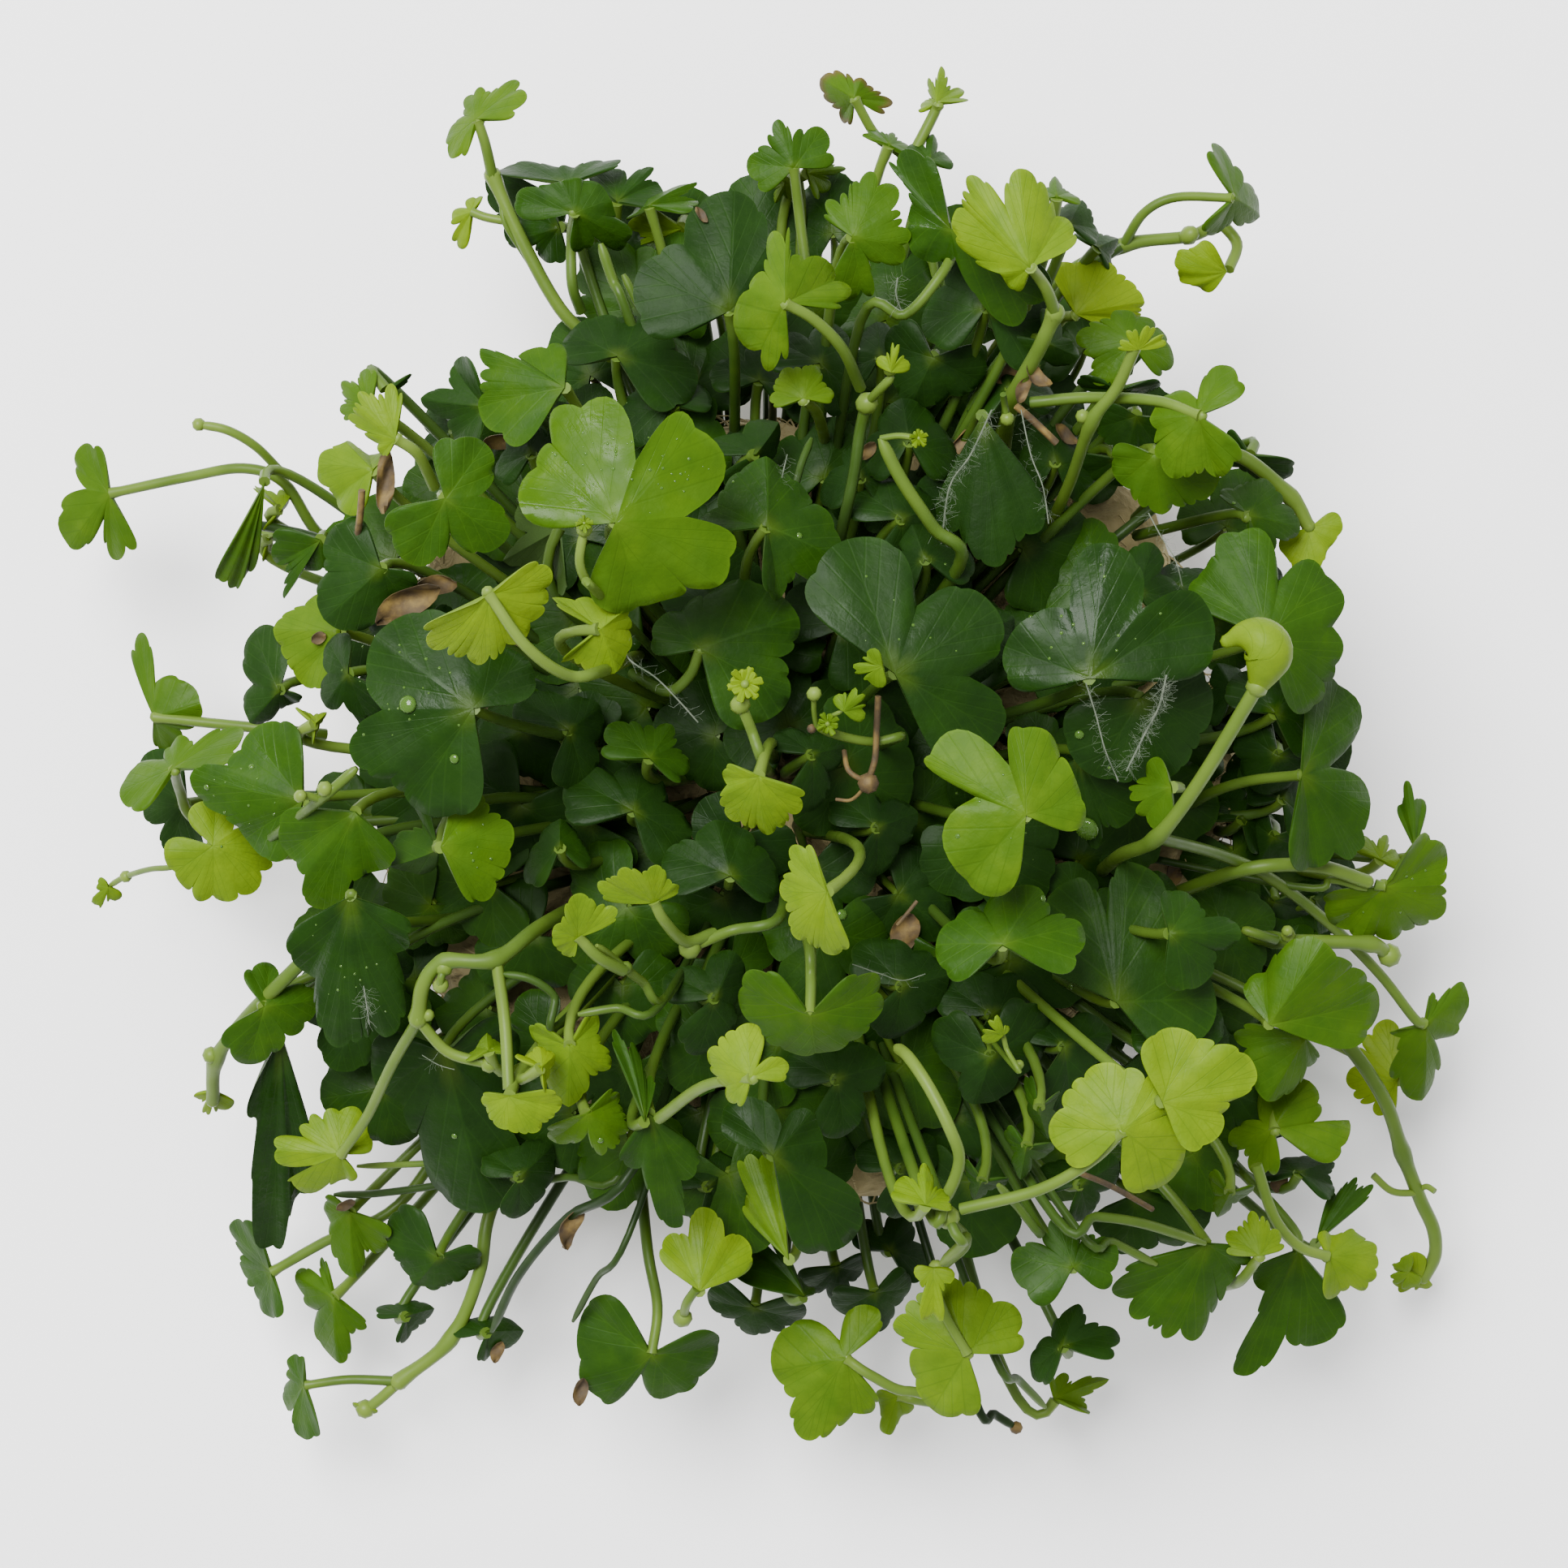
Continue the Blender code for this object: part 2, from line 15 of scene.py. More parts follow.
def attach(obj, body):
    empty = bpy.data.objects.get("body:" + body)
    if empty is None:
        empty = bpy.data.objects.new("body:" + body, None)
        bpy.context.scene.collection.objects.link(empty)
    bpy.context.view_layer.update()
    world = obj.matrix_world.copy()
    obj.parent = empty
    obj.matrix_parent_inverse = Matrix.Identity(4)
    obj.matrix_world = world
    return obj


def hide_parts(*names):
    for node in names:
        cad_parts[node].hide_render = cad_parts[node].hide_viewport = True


MM = 0.001

# The view from above that gives each leaf its place
PICTURE_MIDDLE = 966.0
MM_PER_PIXEL = 0.06
CANOPY_HEIGHT = 36.0
EYE_ABOVE_CANOPY = 320.0

# Root pad, in millimetres: its waves are count, reach and shift, its tufts angle and reach, and the
# lumps of its wool fineness and depth
PAD_HALF_LENGTH = 32.5
PAD_HALF_WIDTH = 29.0
PAD_TOP = 20.0
PAD_WAVES = [(3, 0.025, 0.8), (5, 0.018, 2.1)]
PAD_BULGE = 0.05
PAD_WIDEST_SHARE = 0.45
PAD_SIDES = 120
PAD_LEVELS = 18
PAD_SIDE_SHARE = 0.9
PAD_EDGE_DROP = 0.6
PAD_TOP_DROP = 0.3
PAD_TOP_SHARES = (0.97, 0.93, 0.86, 0.78, 0.68, 0.58, 0.48, 0.38, 0.28, 0.18, 0.09)
WOOL_TUFTS = [(0.72, 0.22), (0.05, 0.10), (-1.36, 0.15)]
TUFT_SPREAD = 0.22
WOOL_LUMPS = [(0.35, 0.8), (0.9, 0.6), (2.2, 0.35)]
WOOL_FIBRES = 2000

# Hidden petioles: high leaves grow from the pad's top and low ones from its side
HIGH_LEAF_ABOVE_PAD = 5.0
TOP_FOOT_DEPTH = 0.8
TOP_FOOT_INWARD = 0.5
TOP_FOOT_REACH = 0.74
SIDE_FOOT_DROP = 2.0
SIDE_FOOT_HIGHEST = 12.0
SIDE_FOOT_SHARE = 0.98

# The shares of its length over which a hidden petiole keeps its way out of the blade and of the pad,
# and the number of steps on its course
BLADE_LEAD = 0.35
FOOT_LEAD = 0.3
PETIOLE_STEPS = 16

# Leaf blades, in millimetres, degrees and shares of a lobe's reach
BLADE_THICKNESS = 0.3
RIM_THINNING = 0.75
LOBE_BREADTH = 4.0
LOBE_ROUNDNESS = 2.0
BACK_ROUNDNESS = 0.5
SINUS_DEPTH = 0.5
DEEPEST_SINUS = 0.95
BACK_REACH = 0.18
BACK_ANGLE = 54.0
VEIN_FOLD = 0.025
VEIN_SPREAD = 0.8
DRY_RIM_START = 0.75
TIP_RISE = -2
NOTCH_RISE = -0.5
COLUMNS_PER_TOOTH = 12
RING_SHARES = (0.12, 0.28, 0.45, 0.61, 0.76, 0.89, 1.0)

# Waves of a blade: height, growth outwards, count round the leaf and shift from leaf to leaf
BLADE_WAVES = ((1.0, 2, 4.0, 1.0), (0.6, 3, 11.0, 2.3))

# Teeth get shallower and the notches between lobes deeper with age
YOUNG_CUT = 0.2
CUT_LOSS = 0.15
YOUNG_SINUS = 0.55
SINUS_GAIN = 0.2

# Petioles and stems: radii in millimetres, swellings and darkening as shares and the length of a node
# in steps of the course; the fine stems are a little thinner than their solids
PETIOLE_RADIUS = 0.4
PETIOLE_WIDENING = 0.15
PETIOLE_CROWN = 1.2
# Hidden petioles darken much more than shown ones towards the pad: painted shade under the leaves
SHOWN_DARKENING = 0.25
HIDDEN_PAINTED_SHADE = 0.7
STEM_SLIMNESS = 0.9
STEM_AGE = 0.25
NODE_SWELL = 0.32
NODE_LENGTH = 1.6
SHOOT_THIN = 0.5
SHOOT_FULLER = 1.3
SHOOT_END = 0.52
TUBE_SIDES = 8
STEM_WET = 0.2
KNOB_WET = 0.3

# The clump's dense middle in the picture, and the gaps in it that show the pad or the ground
DENSE_OUTLINE = [(720, 330), (790, 290), (900, 300), (1060, 280), (1220, 300), (1310, 380), (1390, 480),
                 (1480, 600), (1560, 730), (1590, 930), (1590, 1120), (1560, 1290), (1480, 1420),
                 (1380, 1490), (1260, 1470), (1120, 1440), (960, 1490), (800, 1420), (640, 1400),
                 (480, 1390), (410, 1320), (410, 1140), (450, 1000), (450, 860),
                 (460, 720), (520, 600), (640, 500), (740, 400)]
PAD_WINDOWS = [(960, 545, 50), (1420, 660, 85), (1515, 930, 66), (395, 900, 42), (480, 1060, 45),
               (690, 1455, 38), (545, 1515, 42), (1055, 1545, 42)]

# Shaded leaves: where they may stand in the picture, their heights, the sizes and turns of their lobes,
# and the ranges of their age, cup, notches and wet film
UNDER_ACROSS = (250, 1720)
UNDER_DOWN = (200, 1680)
UNDER_SPACING = 78
UNDER_TRIES = 6000
UNDER_HIGHEST = 33.0
UNDER_FALL = 12.0
UNDER_DIP = 6.0
UNDER_TWIST = 0.9
UNDER_SIZES = (62, 92)
UNDER_LOBE_TURNS = (82, 100)
UNDER_REACHES = (0.9, 1.1)
UNDER_TIP_RISES = (-2.5, -0.5)
# Painted shade: the shaded leaves get the darkest greens, less so towards the clump's rim
UNDER_AGES_AND_SHADE = (0.8, 1.0)
UNDER_SHADE_FADE = 0.16
UNDER_CUPS = (0.05, 0.25)
UNDER_SINUSES = (0.7, 0.85)
UNDER_WETTEST = 0.6
UNDER_RING_SHARES = (0.25, 0.55, 0.82, 1.0)
CLUMP_RADIUS = 700.0

# Material slots of every plant piece, and the one slot of the pieces with a material of their own
LEAF, STEM, DRY = 0, 1, 2
ONLY = 0

# Colours from young to old, or from hollow to high; the dark hollow ends of the dry and wool colours
# are partly painted shade
# The darkest leaf greens, from 0.8 on, are partly painted shade for the clump's deep middle
LEAF_AGES_AND_SHADE = ((0.0, (0.115, 0.180, 0.003)), (0.18, (0.072, 0.130, 0.003)), (0.38, (0.037, 0.083, 0.002)),
             (0.6, (0.017, 0.050, 0.002)), (0.8, (0.0080, 0.0280, 0.0018)), (1.0, (0.0042, 0.0152, 0.0018)))
STEM_AGES = ((0.0, (0.122, 0.182, 0.026)), (0.35, (0.067, 0.115, 0.013)), (0.6, (0.027, 0.058, 0.006)),
             (1.0, (0.008, 0.021, 0.003)))
DRY_BROWNS_AND_HOLLOW_SHADE = ((0.3, (0.020, 0.011, 0.003)), (0.5, (0.058, 0.034, 0.006)), (0.7, (0.14, 0.090, 0.016)))
WOOL_TANS_AND_HOLLOW_SHADE = ((0.32, (0.07, 0.054, 0.020)), (0.5, (0.22, 0.175, 0.070)), (0.72, (0.36, 0.30, 0.14)))
ROOT_GREYS = ((0.3, (0.06, 0.08, 0.05)), (0.7, (0.12, 0.14, 0.10)))
PALE_WOOL = (0.40, 0.34, 0.17)
HEART_GREEN = (0.09, 0.14, 0.01)
UNDERSIDE_GREEN = (0.05, 0.085, 0.02)
DARK_RIM_BROWN = (0.045, 0.022, 0.008)
PALE_RIM_BROWN = (0.11, 0.065, 0.02)
DROP_GREEN = (0.10, 0.22, 0.03)
FLOOR_GREY = (0.95, 0.95, 0.95)

# Factors on the leaf colour: veins of young and old leaves, and the rim
YOUNG_VEIN = (0.62, 0.72, 0.6)
OLD_VEIN = (1.6, 1.45, 1.5)
RIM_LIGHT = (1.5, 1.4, 1.3)

# Side veins of a lobe: where each leaves the middle vein and how wide it opens
SIDE_VEINS = ((0.16, 0.62), (0.42, 0.55), (0.66, 0.5))

# Wool fibres, root hairs and the lowest height where dry bits and drops rest, in millimetres
FIBRE_LENGTHS = (1.5, 5.5)
FIBRE_RADII = (0.04, 0.09)
HAIR_LENGTHS = (0.4, 1.2)
HAIR_RADIUS = 0.006
LOWEST_REST = 5.0

# Dry flakes: points along and across, half thickness in millimetres and crumple to length
FLAKE_LONG = 8
FLAKE_WIDE = 4
FLAKE_HALF_THICKNESS = 0.06
FLAKE_CRUMPLE = 0.06

# Radii of the small beads of water, in picture pixels
BEAD_RADII = (0.8, 2.2)

# Starts of the random draws, one for each piece or group that has them
PAD_SEED = 4
UNDER_SEED = 11
ROOT_SEED = 21
DROP_SEED = 8

# Studio, in metres and watts
FLOOR_HALF = 3.0
LAMP_PLACE = (-0.22, 0.28, 0.75)
LAMP_SIZE = 0.5
LAMP_POWER = 20.0


def at(x, y, height):
    """The point, in millimetres, that shows at a picture place and lies at this height."""
    scale = MM_PER_PIXEL * (1.0 - (height - CANOPY_HEIGHT) / EYE_ABOVE_CANOPY)
    return Vector(((x - PICTURE_MIDDLE) * scale, (PICTURE_MIDDLE - y) * scale, height))


def points_at(places):
    """The points of a row of picture places with heights."""
    return [at(*place) for place in places]


def tips_at(junction, ends):
    """The lobe tips of a leaf; an end's third number is its rise over the junction."""
    return [at(x, y, junction[2] + (rise[0] if rise else TIP_RISE)) for x, y, *rise in ends]


def wave_seed(x, y=0.0):
    """A number that differs from place to place and shifts the waves of the leaf there."""
    return x * 0.37 + y * 0.11


class Shape:
    """Points and faces in millimetres that grow into one piece."""

    def __init__(self):
        self.points = []
        self.faces = []
        self.slots = []
        self.places = []
        self.traits = []

    def add(self, point, place=(0.5, 0.5), age=0.5, wet=0.0, under=0.0, dry=0.0, rim=0.0):
        """One point; its place is across and along its lobe, and its traits steer the looks."""
        self.points.append(point)
        self.places.append(place)
        self.traits.append((age, wet, under, dry, rim))
        return len(self.points) - 1

    def face(self, corners, slot):
        """One face, from the numbers of its corner points."""
        self.faces.append(tuple(corners))
        self.slots.append(slot)


# Materials

class Nodes:
    """Short calls for building one material's nodes."""

    def __init__(self, name):
        self.material = bpy.data.materials.new(name)
        self.material.use_nodes = True
        self.tree = self.material.node_tree
        self.shader = self.tree.nodes["Principled BSDF"]

    def link(self, source, socket):
        """Join an output to an input."""
        self.tree.links.new(source, socket)

    def fill(self, socket, value):
        """Link another node's output to a socket, or set the socket's own value."""
        if isinstance(value, bpy.types.NodeSocket):
            self.link(value, socket)
        elif isinstance(value, tuple) and len(value) == 3 and socket.type == "RGBA":
            socket.default_value = (*value, 1.0)
        else:
            socket.default_value = value

    def maths(self, operation, first, second=0.0):
        """One sum, product or the like of two values."""
        node = self.tree.nodes.new("ShaderNodeMath")
        node.operation = operation
        for socket, value in zip(node.inputs, (first, second)):
            self.fill(socket, value)
        return node.outputs[0]

    def attribute(self, name):
        """One of the traits that as_piece() stores at every point."""
        node = self.tree.nodes.new("ShaderNodeAttribute")
        node.attribute_name = name
        return node.outputs["Fac"]

    def places(self):
        """The places across and along the lobe."""
        node = self.tree.nodes.new("ShaderNodeUVMap")
        node.uv_map = "leaf"
        split = self.tree.nodes.new("ShaderNodeSeparateXYZ")
        self.link(node.outputs[0], split.inputs[0])
        return split.outputs[0], split.outputs[1]

    def noise(self, scale, detail=2.0, stretch=(1.0, 1.0, 1.0)):
        """Soft patches fixed to the piece."""
        space = self.tree.nodes.new("ShaderNodeTexCoord")
        spread = self.tree.nodes.new("ShaderNodeMapping")
        spread.inputs["Scale"].default_value = stretch
        node = self.tree.nodes.new("ShaderNodeTexNoise")
        node.inputs["Scale"].default_value = scale
        node.inputs["Detail"].default_value = detail
        self.link(space.outputs["Object"], spread.inputs[0])
        self.link(spread.outputs[0], node.inputs["Vector"])
        return node.outputs["Fac"]

    def cells(self, scale):
        """Distance to the nearest edge in a net of small cells."""
        space = self.tree.nodes.new("ShaderNodeTexCoord")
        node = self.tree.nodes.new("ShaderNodeTexVoronoi")
        node.feature = "DISTANCE_TO_EDGE"
        node.inputs["Scale"].default_value = scale
        self.link(space.outputs["Object"], node.inputs["Vector"])
        return node.outputs["Distance"]

    def step(self, value, low, high, bottom=0.0, top=1.0):
        """A soft step from bottom to top while the value runs from low to high."""
        node = self.tree.nodes.new("ShaderNodeMapRange")
        node.interpolation_type = "SMOOTHSTEP"
        for name, amount in zip(("Value", "From Min", "From Max", "To Min", "To Max"),
                                (value, low, high, bottom, top)):
            self.fill(node.inputs[name], amount)
        return node.outputs[0]

    def ramp(self, value, stops):
        """A colour ramp with these stops of place and colour."""
        node = self.tree.nodes.new("ShaderNodeValToRGB")
        ramp = node.color_ramp
        while len(ramp.elements) < len(stops):
            ramp.elements.new(1.0)
        for element, (place, colour) in zip(ramp.elements, stops):
            element.position = place
            element.color = (*colour, 1.0)
        self.link(value, node.inputs[0])
        return node.outputs[0]

    def mix(self, share, first, second, blend="MIX"):
        """Two colours blended, with the share that the second one has."""
        node = self.tree.nodes.new("ShaderNodeMix")
        node.data_type = "RGBA"
        node.blend_type = blend
        self.fill(node.inputs["Factor"], share)
        self.fill(node.inputs["A"], first)
        self.fill(node.inputs["B"], second)
        return node.outputs["Result"]

    def bump(self, height, strength, distance):
        """Fine relief for the shader, with its distance in metres."""
        node = self.tree.nodes.new("ShaderNodeBump")
        node.inputs["Strength"].default_value = strength
        node.inputs["Distance"].default_value = distance
        self.link(height, node.inputs["Height"])
        self.link(node.outputs[0], self.shader.inputs["Normal"])

    def set(self, **values):
        """Fill the shader's sockets, named with underscores for spaces."""
        for name, value in values.items():
            self.fill(self.shader.inputs[name.replace("_", " ")], value)

    def patchy_age(self, scale, detail, strength):
        """The age trait, made a little younger and older in patches."""
        patch = self.maths("SUBTRACT", self.noise(scale, detail), 0.5)
        return self.maths("ADD", self.attribute("age"), self.maths("MULTIPLY", patch, strength))


def leaf_veins(n):
    """The veins of a lobe and the fine net between them, as a share from 0 to 1."""
    across, along = n.places()
    nearest = n.maths("ADD", across, n.maths("MULTIPLY", along, 0.008))
    for start, opening in SIDE_VEINS:
        aim = n.maths("MULTIPLY", n.maths("MAXIMUM", n.maths("SUBTRACT", along, start), 0.0), opening)
        off = n.maths("ABSOLUTE", n.maths("SUBTRACT", across, aim))
        nearest = n.maths("MINIMUM", nearest, n.maths("ADD", off, 0.006))
    vein = n.step(nearest, 0.008, 0.022, 1.0, 0.0)
    net = n.step(n.cells(1100.0), 0.0, 0.09, 1.0, 0.0)
    return n.maths("MAXIMUM", vein, n.maths("MULTIPLY", net, 0.3))


def leaf_material():
    """Leaf skin: green by age, veins darker when young and paler when old, a pale rim and a wet film."""
    n = Nodes("leaf_skin")
    out = n.attribute("rim")
    age = n.patchy_age(420.0, 3.0, 0.3)
    vein = leaf_veins(n)
    colour = n.ramp(age, LEAF_AGES_AND_SHADE)
    veined = n.mix(1.0, colour, n.mix(n.step(age, 0.3, 0.65), YOUNG_VEIN, OLD_VEIN), "MULTIPLY")
    colour = n.mix(n.maths("MULTIPLY", vein, 0.45), colour, veined)
    lighter = n.mix(1.0, colour, RIM_LIGHT, "MULTIPLY")
    colour = n.mix(n.maths("MULTIPLY", n.step(out, 0.95, 1.0), 0.4), colour, lighter)
    colour = n.mix(n.step(out, 0.0, 0.3, 0.2, 0.0), colour, HEART_GREEN)
    colour = n.mix(n.maths("MULTIPLY", n.attribute("under"), 0.45), colour, UNDERSIDE_GREEN)
    colour = n.mix(n.attribute("dry"), colour, n.mix(n.noise(900.0), DARK_RIM_BROWN, PALE_RIM_BROWN))
    wet = n.maths("MULTIPLY", n.attribute("wet"), n.step(n.noise(300.0), 0.42, 0.6))
    n.set(Base_Color=colour, Roughness=n.maths("SUBTRACT", 0.5, n.maths("MULTIPLY", wet, 0.3)),
          Specular_IOR_Level=0.08)
    relief = n.maths("ADD", n.maths("MULTIPLY", vein, -0.2), n.maths("MULTIPLY", n.noise(1400.0, 3.0), 0.9))
    n.bump(relief, 0.35, 0.0002)
    return n.material


def stem_material():
    """Smooth juicy stem: pale where young, darker green with age, and darkest where hidden stalks carry
    painted shade.
    """
    n = Nodes("stem_skin")
    n.set(Base_Color=n.ramp(n.patchy_age(260.0, 2.0, 0.35), STEM_AGES),
          Roughness=n.step(n.noise(700.0), 0.3, 0.7, 0.36, 0.5), Specular_IOR_Level=0.15)
    n.bump(n.noise(1500.0, 2.0, (1.0, 1.0, 0.3)), 0.2, 0.0001)
    return n.material


def dry_material():
    """Withered bracts and dead leaf bits, darker in the low spots of their relief: partly real brown,
    partly painted shade.
    """
    n = Nodes("dry_skin")
    patch = n.noise(700.0, 4.0)
    # Painted shade: one noise gives both colour and relief, so the low spots are the darkest brown
    n.set(Base_Color=n.ramp(patch, DRY_BROWNS_AND_HOLLOW_SHADE), Roughness=0.75)
    n.bump(patch, 0.6, 0.0003)
    return n.material


def wool_material():
    """Damp tan growing wool with darker patches, partly painted shade for its hollows."""
    n = Nodes("growing_wool")
    strands = n.noise(700.0, 4.0, (1.0, 1.0, 4.0))
    colour = n.ramp(n.noise(110.0, 5.0), WOOL_TANS_AND_HOLLOW_SHADE)
    n.set(Base_Color=n.mix(n.maths("MULTIPLY", strands, 0.5), colour, PALE_WOOL), Roughness=0.95)
    n.bump(strands, 0.8, 0.0006)
    return n.material


def root_material():
    """Pale root hairs."""
    n = Nodes("root_hair")
    n.set(Base_Color=n.ramp(n.noise(900.0), ROOT_GREYS), Roughness=0.5)
    return n.material


def water_material():
    """Clear drops with the green of the leaf in them."""
    n = Nodes("water")
    n.set(Base_Color=DROP_GREEN, Roughness=0.04, IOR=1.33, Transmission_Weight=0.6)
    return n.material


def floor_material():
    """The pale floor under the plant."""
    n = Nodes("pale_floor")
    n.set(Base_Color=FLOOR_GREY, Roughness=0.8)
    return n.material


# Leaf blades

def leaf_plane(junction, tips):
    """The leaf's own normal, its way along the middle lobe and its way across."""
    arms = [(tips[index] - junction).normalized() for index in (0, len(tips) // 2, -1)]
    normal = arms[0].cross(arms[1]) + arms[1].cross(arms[2])
    if normal.z < 0:
        normal.negate()
    normal.normalize()
    along = (arms[1] - normal * arms[1].dot(normal)).normalized()
    return normal, along, normal.cross(along)


def turn_and_reach(arm, along, across):
    """An arm's turn round the leaf and its length in the leaf's plane."""
    return math.atan2(arm.dot(across), arm.dot(along)), math.hypot(arm.dot(along), arm.dot(across))


def lobe_limits(turns, reaches, back, sinus, seed, gaps):
    """The turns where the lobes end, and the reach of each notch between two lobes."""
    outer = min(math.radians(back), (math.tau - turns[-1] + turns[0]) * 0.48)
    edges = [turns[0] - outer]
    lows = []
    for side in range(len(turns) - 1):
        shift = 0.5 + 0.07 * math.sin(seed * 3.1 + 2.0 * side)
        edges.append(turns[side] + (turns[side + 1] - turns[side]) * shift)
        depth = sinus * (1.0 + 0.16 * math.sin(seed * 1.7 + side))
        lows.append(min(depth, DEEPEST_SINUS) * (reaches[side] + reaches[side + 1]) / 2)
    edges.append(turns[-1] + outer)
    for turn, reach in gaps:
        side = min(max(sum(turn > other for other in turns) - 1, 0), len(turns) - 2)
        edges[side + 1] = turn
        lows[side] = reach
    return edges, lows


def lobe_columns(junction, tips, back, teeth, cut, sinus, fineness, seed, gaps):
    """Round the leaf: for each column its turn, reach, lean, length, lobe place and part."""
    normal, along, across = leaf_plane(junction, tips)
    lobes = []
    for tip in tips:
        turn, reach = turn_and_reach(tip - junction, along, across)
        lobes.append((turn, reach, (tip - junction).dot(normal) / reach))
    turns, reaches, leans = zip(*sorted(lobes))
    notches = [turn_and_reach(gap - junction, along, across) for gap in gaps]
    edges, lows = lobe_limits(turns, reaches, back, sinus, seed, notches)
    columns = []
    for lobe in range(len(tips)):
        for step in range(1 if lobe else 0, fineness + 1):
            t = 2.0 * step / fineness - 1.0
            side = int(t > 0)
            near = lobe + (1 if side else -1)
            aside = abs(math.sin(t * math.pi / 2))
            turn = turns[lobe] + aside * (edges[lobe + side] - turns[lobe])
            if 0 <= near < len(tips):
                low = lows[min(lobe, near)]
                fullness = (1.0 - aside ** LOBE_BREADTH) ** LOBE_ROUNDNESS
            else:
                low = BACK_REACH * reaches[lobe]
                fullness = (1.0 - aside ** 2) ** (BACK_ROUNDNESS / 2)
            reach = low + (reaches[lobe] - low) * fullness
            bite = (t + 1) / 2 * teeth % 1.0
            tooth = 1.0 - abs(math.sin(math.pi * bite)) ** 0.7
            reach *= 1.0 - cut * tooth * (1.0 + 0.3 * math.sin(seed + 5.0 * lobe + 2.0 * t))
            columns.append((turn, reach, float(np.interp(turn, turns, leans)),
                            float(np.interp(turn, turns, reaches)), t))
    return columns, max(reaches), (normal, along, across)


def add_blade(shape, junction, tips, age, cup=0.12, back=BACK_ANGLE, teeth=3, cut=0.08, sinus=SINUS_DEPTH,
              wave=0.03, wet=0.25, dry_rim=0.0, seed=0.0, fineness=COLUMNS_PER_TOOTH, shares=RING_SHARES,
              gaps=()):
    """A thin closed blade of three lobes, gently folded along its veins and waved at its rim."""
    columns, longest, (normal, along, across) = lobe_columns(junction, tips, back, teeth, cut, sinus,
                                                             fineness * teeth, seed, gaps)
    arch = cup / longest
    top_rows = []
    low_rows = []
    for turn, reach, lean, length, t in columns:
        way = along * math.cos(turn) + across * math.sin(turn)
        aside = math.sin(abs(t) * math.pi / 2)
        top_row = []
        low_row = []
        for share in shares:
            run = reach * share
            rise = lean * run + arch * run * (length - run)
            rise -= VEIN_FOLD * run * 0.5 * math.cos(math.pi * aside)
            for height, growth, count, shift in BLADE_WAVES:
                rise += wave * height * longest * share ** growth * math.sin(turn * count + seed * shift)
            point = junction + way * run + normal * rise
            half = normal * (BLADE_THICKNESS * 0.5 * (1.0 - RIM_THINNING * share ** 5))
            dry = dry_rim * max(share - DRY_RIM_START, 0.0) / (1.0 - DRY_RIM_START)
            out = share * reach / length
            place = (out * math.sin(VEIN_SPREAD * aside), out * math.cos(VEIN_SPREAD * aside))
            top_row.append(shape.add(point + half, place, age, wet, 0.0, dry, share))
            low_row.append(shape.add(point - half, place, age, 0.0, 1.0, dry, share))
        top_rows.append(top_row)
        low_rows.append(low_row)
    half = normal * (BLADE_THICKNESS * 0.5)
    top_heart = shape.add(junction + half, (0.0, 0.0), age, wet, 0.0)
    low_heart = shape.add(junction - half, (0.0, 0.0), age, 0.0, 1.0)
    for index in range(len(columns) - 1):
        for rows, heart, flip in ((top_rows, top_heart, False), (low_rows, low_heart, True)):
            first = rows[index]
            second = rows[index + 1]
            fan = (heart, first[0], second[0])
            shape.face(fan[::-1] if flip else fan, LEAF)
            for ring in range(len(shares) - 1):
                quad = (first[ring], first[ring + 1], second[ring + 1], second[ring])
                shape.face(quad[::-1] if flip else quad, LEAF)
        shape.face((top_rows[index][-1], low_rows[index][-1],
                    low_rows[index + 1][-1], top_rows[index + 1][-1]), LEAF)
    for end, flip in ((0, True), (-1, False)):
        upper = [top_heart, *top_rows[end]]
        lower = [low_heart, *low_rows[end]]
        for ring in range(len(shares)):
            quad = (upper[ring], lower[ring], lower[ring + 1], upper[ring + 1])
            shape.face(quad if flip else quad[::-1], LEAF)
    return normal


# Tubes and balls

def smooth_path(points, steps):
    """Points on a rounded curve through the given ones, with steps pieces between two."""
    ends = [points[0] * 2 - points[1], *points, points[-1] * 2 - points[-2]]
    path = []
    for index in range(1, len(ends) - 2):
        before, start, stop, after = ends[index - 1:index + 3]
        for step in range(steps):
            t = step / steps
            path.append(0.5 * ((2 * start) + (stop - before) * t
                               + (2 * before - 5 * start + 4 * stop - after) * t * t
                               + (3 * start - before - 3 * stop + after) * t ** 3))
    return [*path, points[-1].copy()]


def close_rings(shape, rings, slot):
    """The walls and both caps of a stack of rings."""
    sides = len(rings[0])
    for lower, upper in zip(rings, rings[1:]):
        for step in range(sides):
            after = (step + 1) % sides
            shape.face((lower[step], lower[after], upper[after], upper[step]), slot)
    shape.face(rings[0][::-1], slot)
    shape.face(rings[-1], slot)


def add_tube(shape, path, radii, age, slot=STEM, sides=TUBE_SIDES):
    """A closed round tube; radii and age are one number or one for each point."""
    rings = []
    side = Vector((0.31, 0.95, 0.05))
    for index, point in enumerate(path):
        ahead = (path[min(index + 1, len(path) - 1)] - path[max(index - 1, 0)]).normalized()
        side = (side - ahead * side.dot(ahead)).normalized()
        over = ahead.cross(side)
        radius = radii[index] if isinstance(radii, list) else radii
        tone = age[index] if isinstance(age, list) else age
        ring = []
        for step in range(sides):
            angle = math.tau * step / sides
            offset = side * math.cos(angle) + over * math.sin(angle)
            ring.append(shape.add(point + offset * radius, (step / sides, index * 0.1), tone, STEM_WET))
        rings.append(ring)
    close_rings(shape, rings, slot)


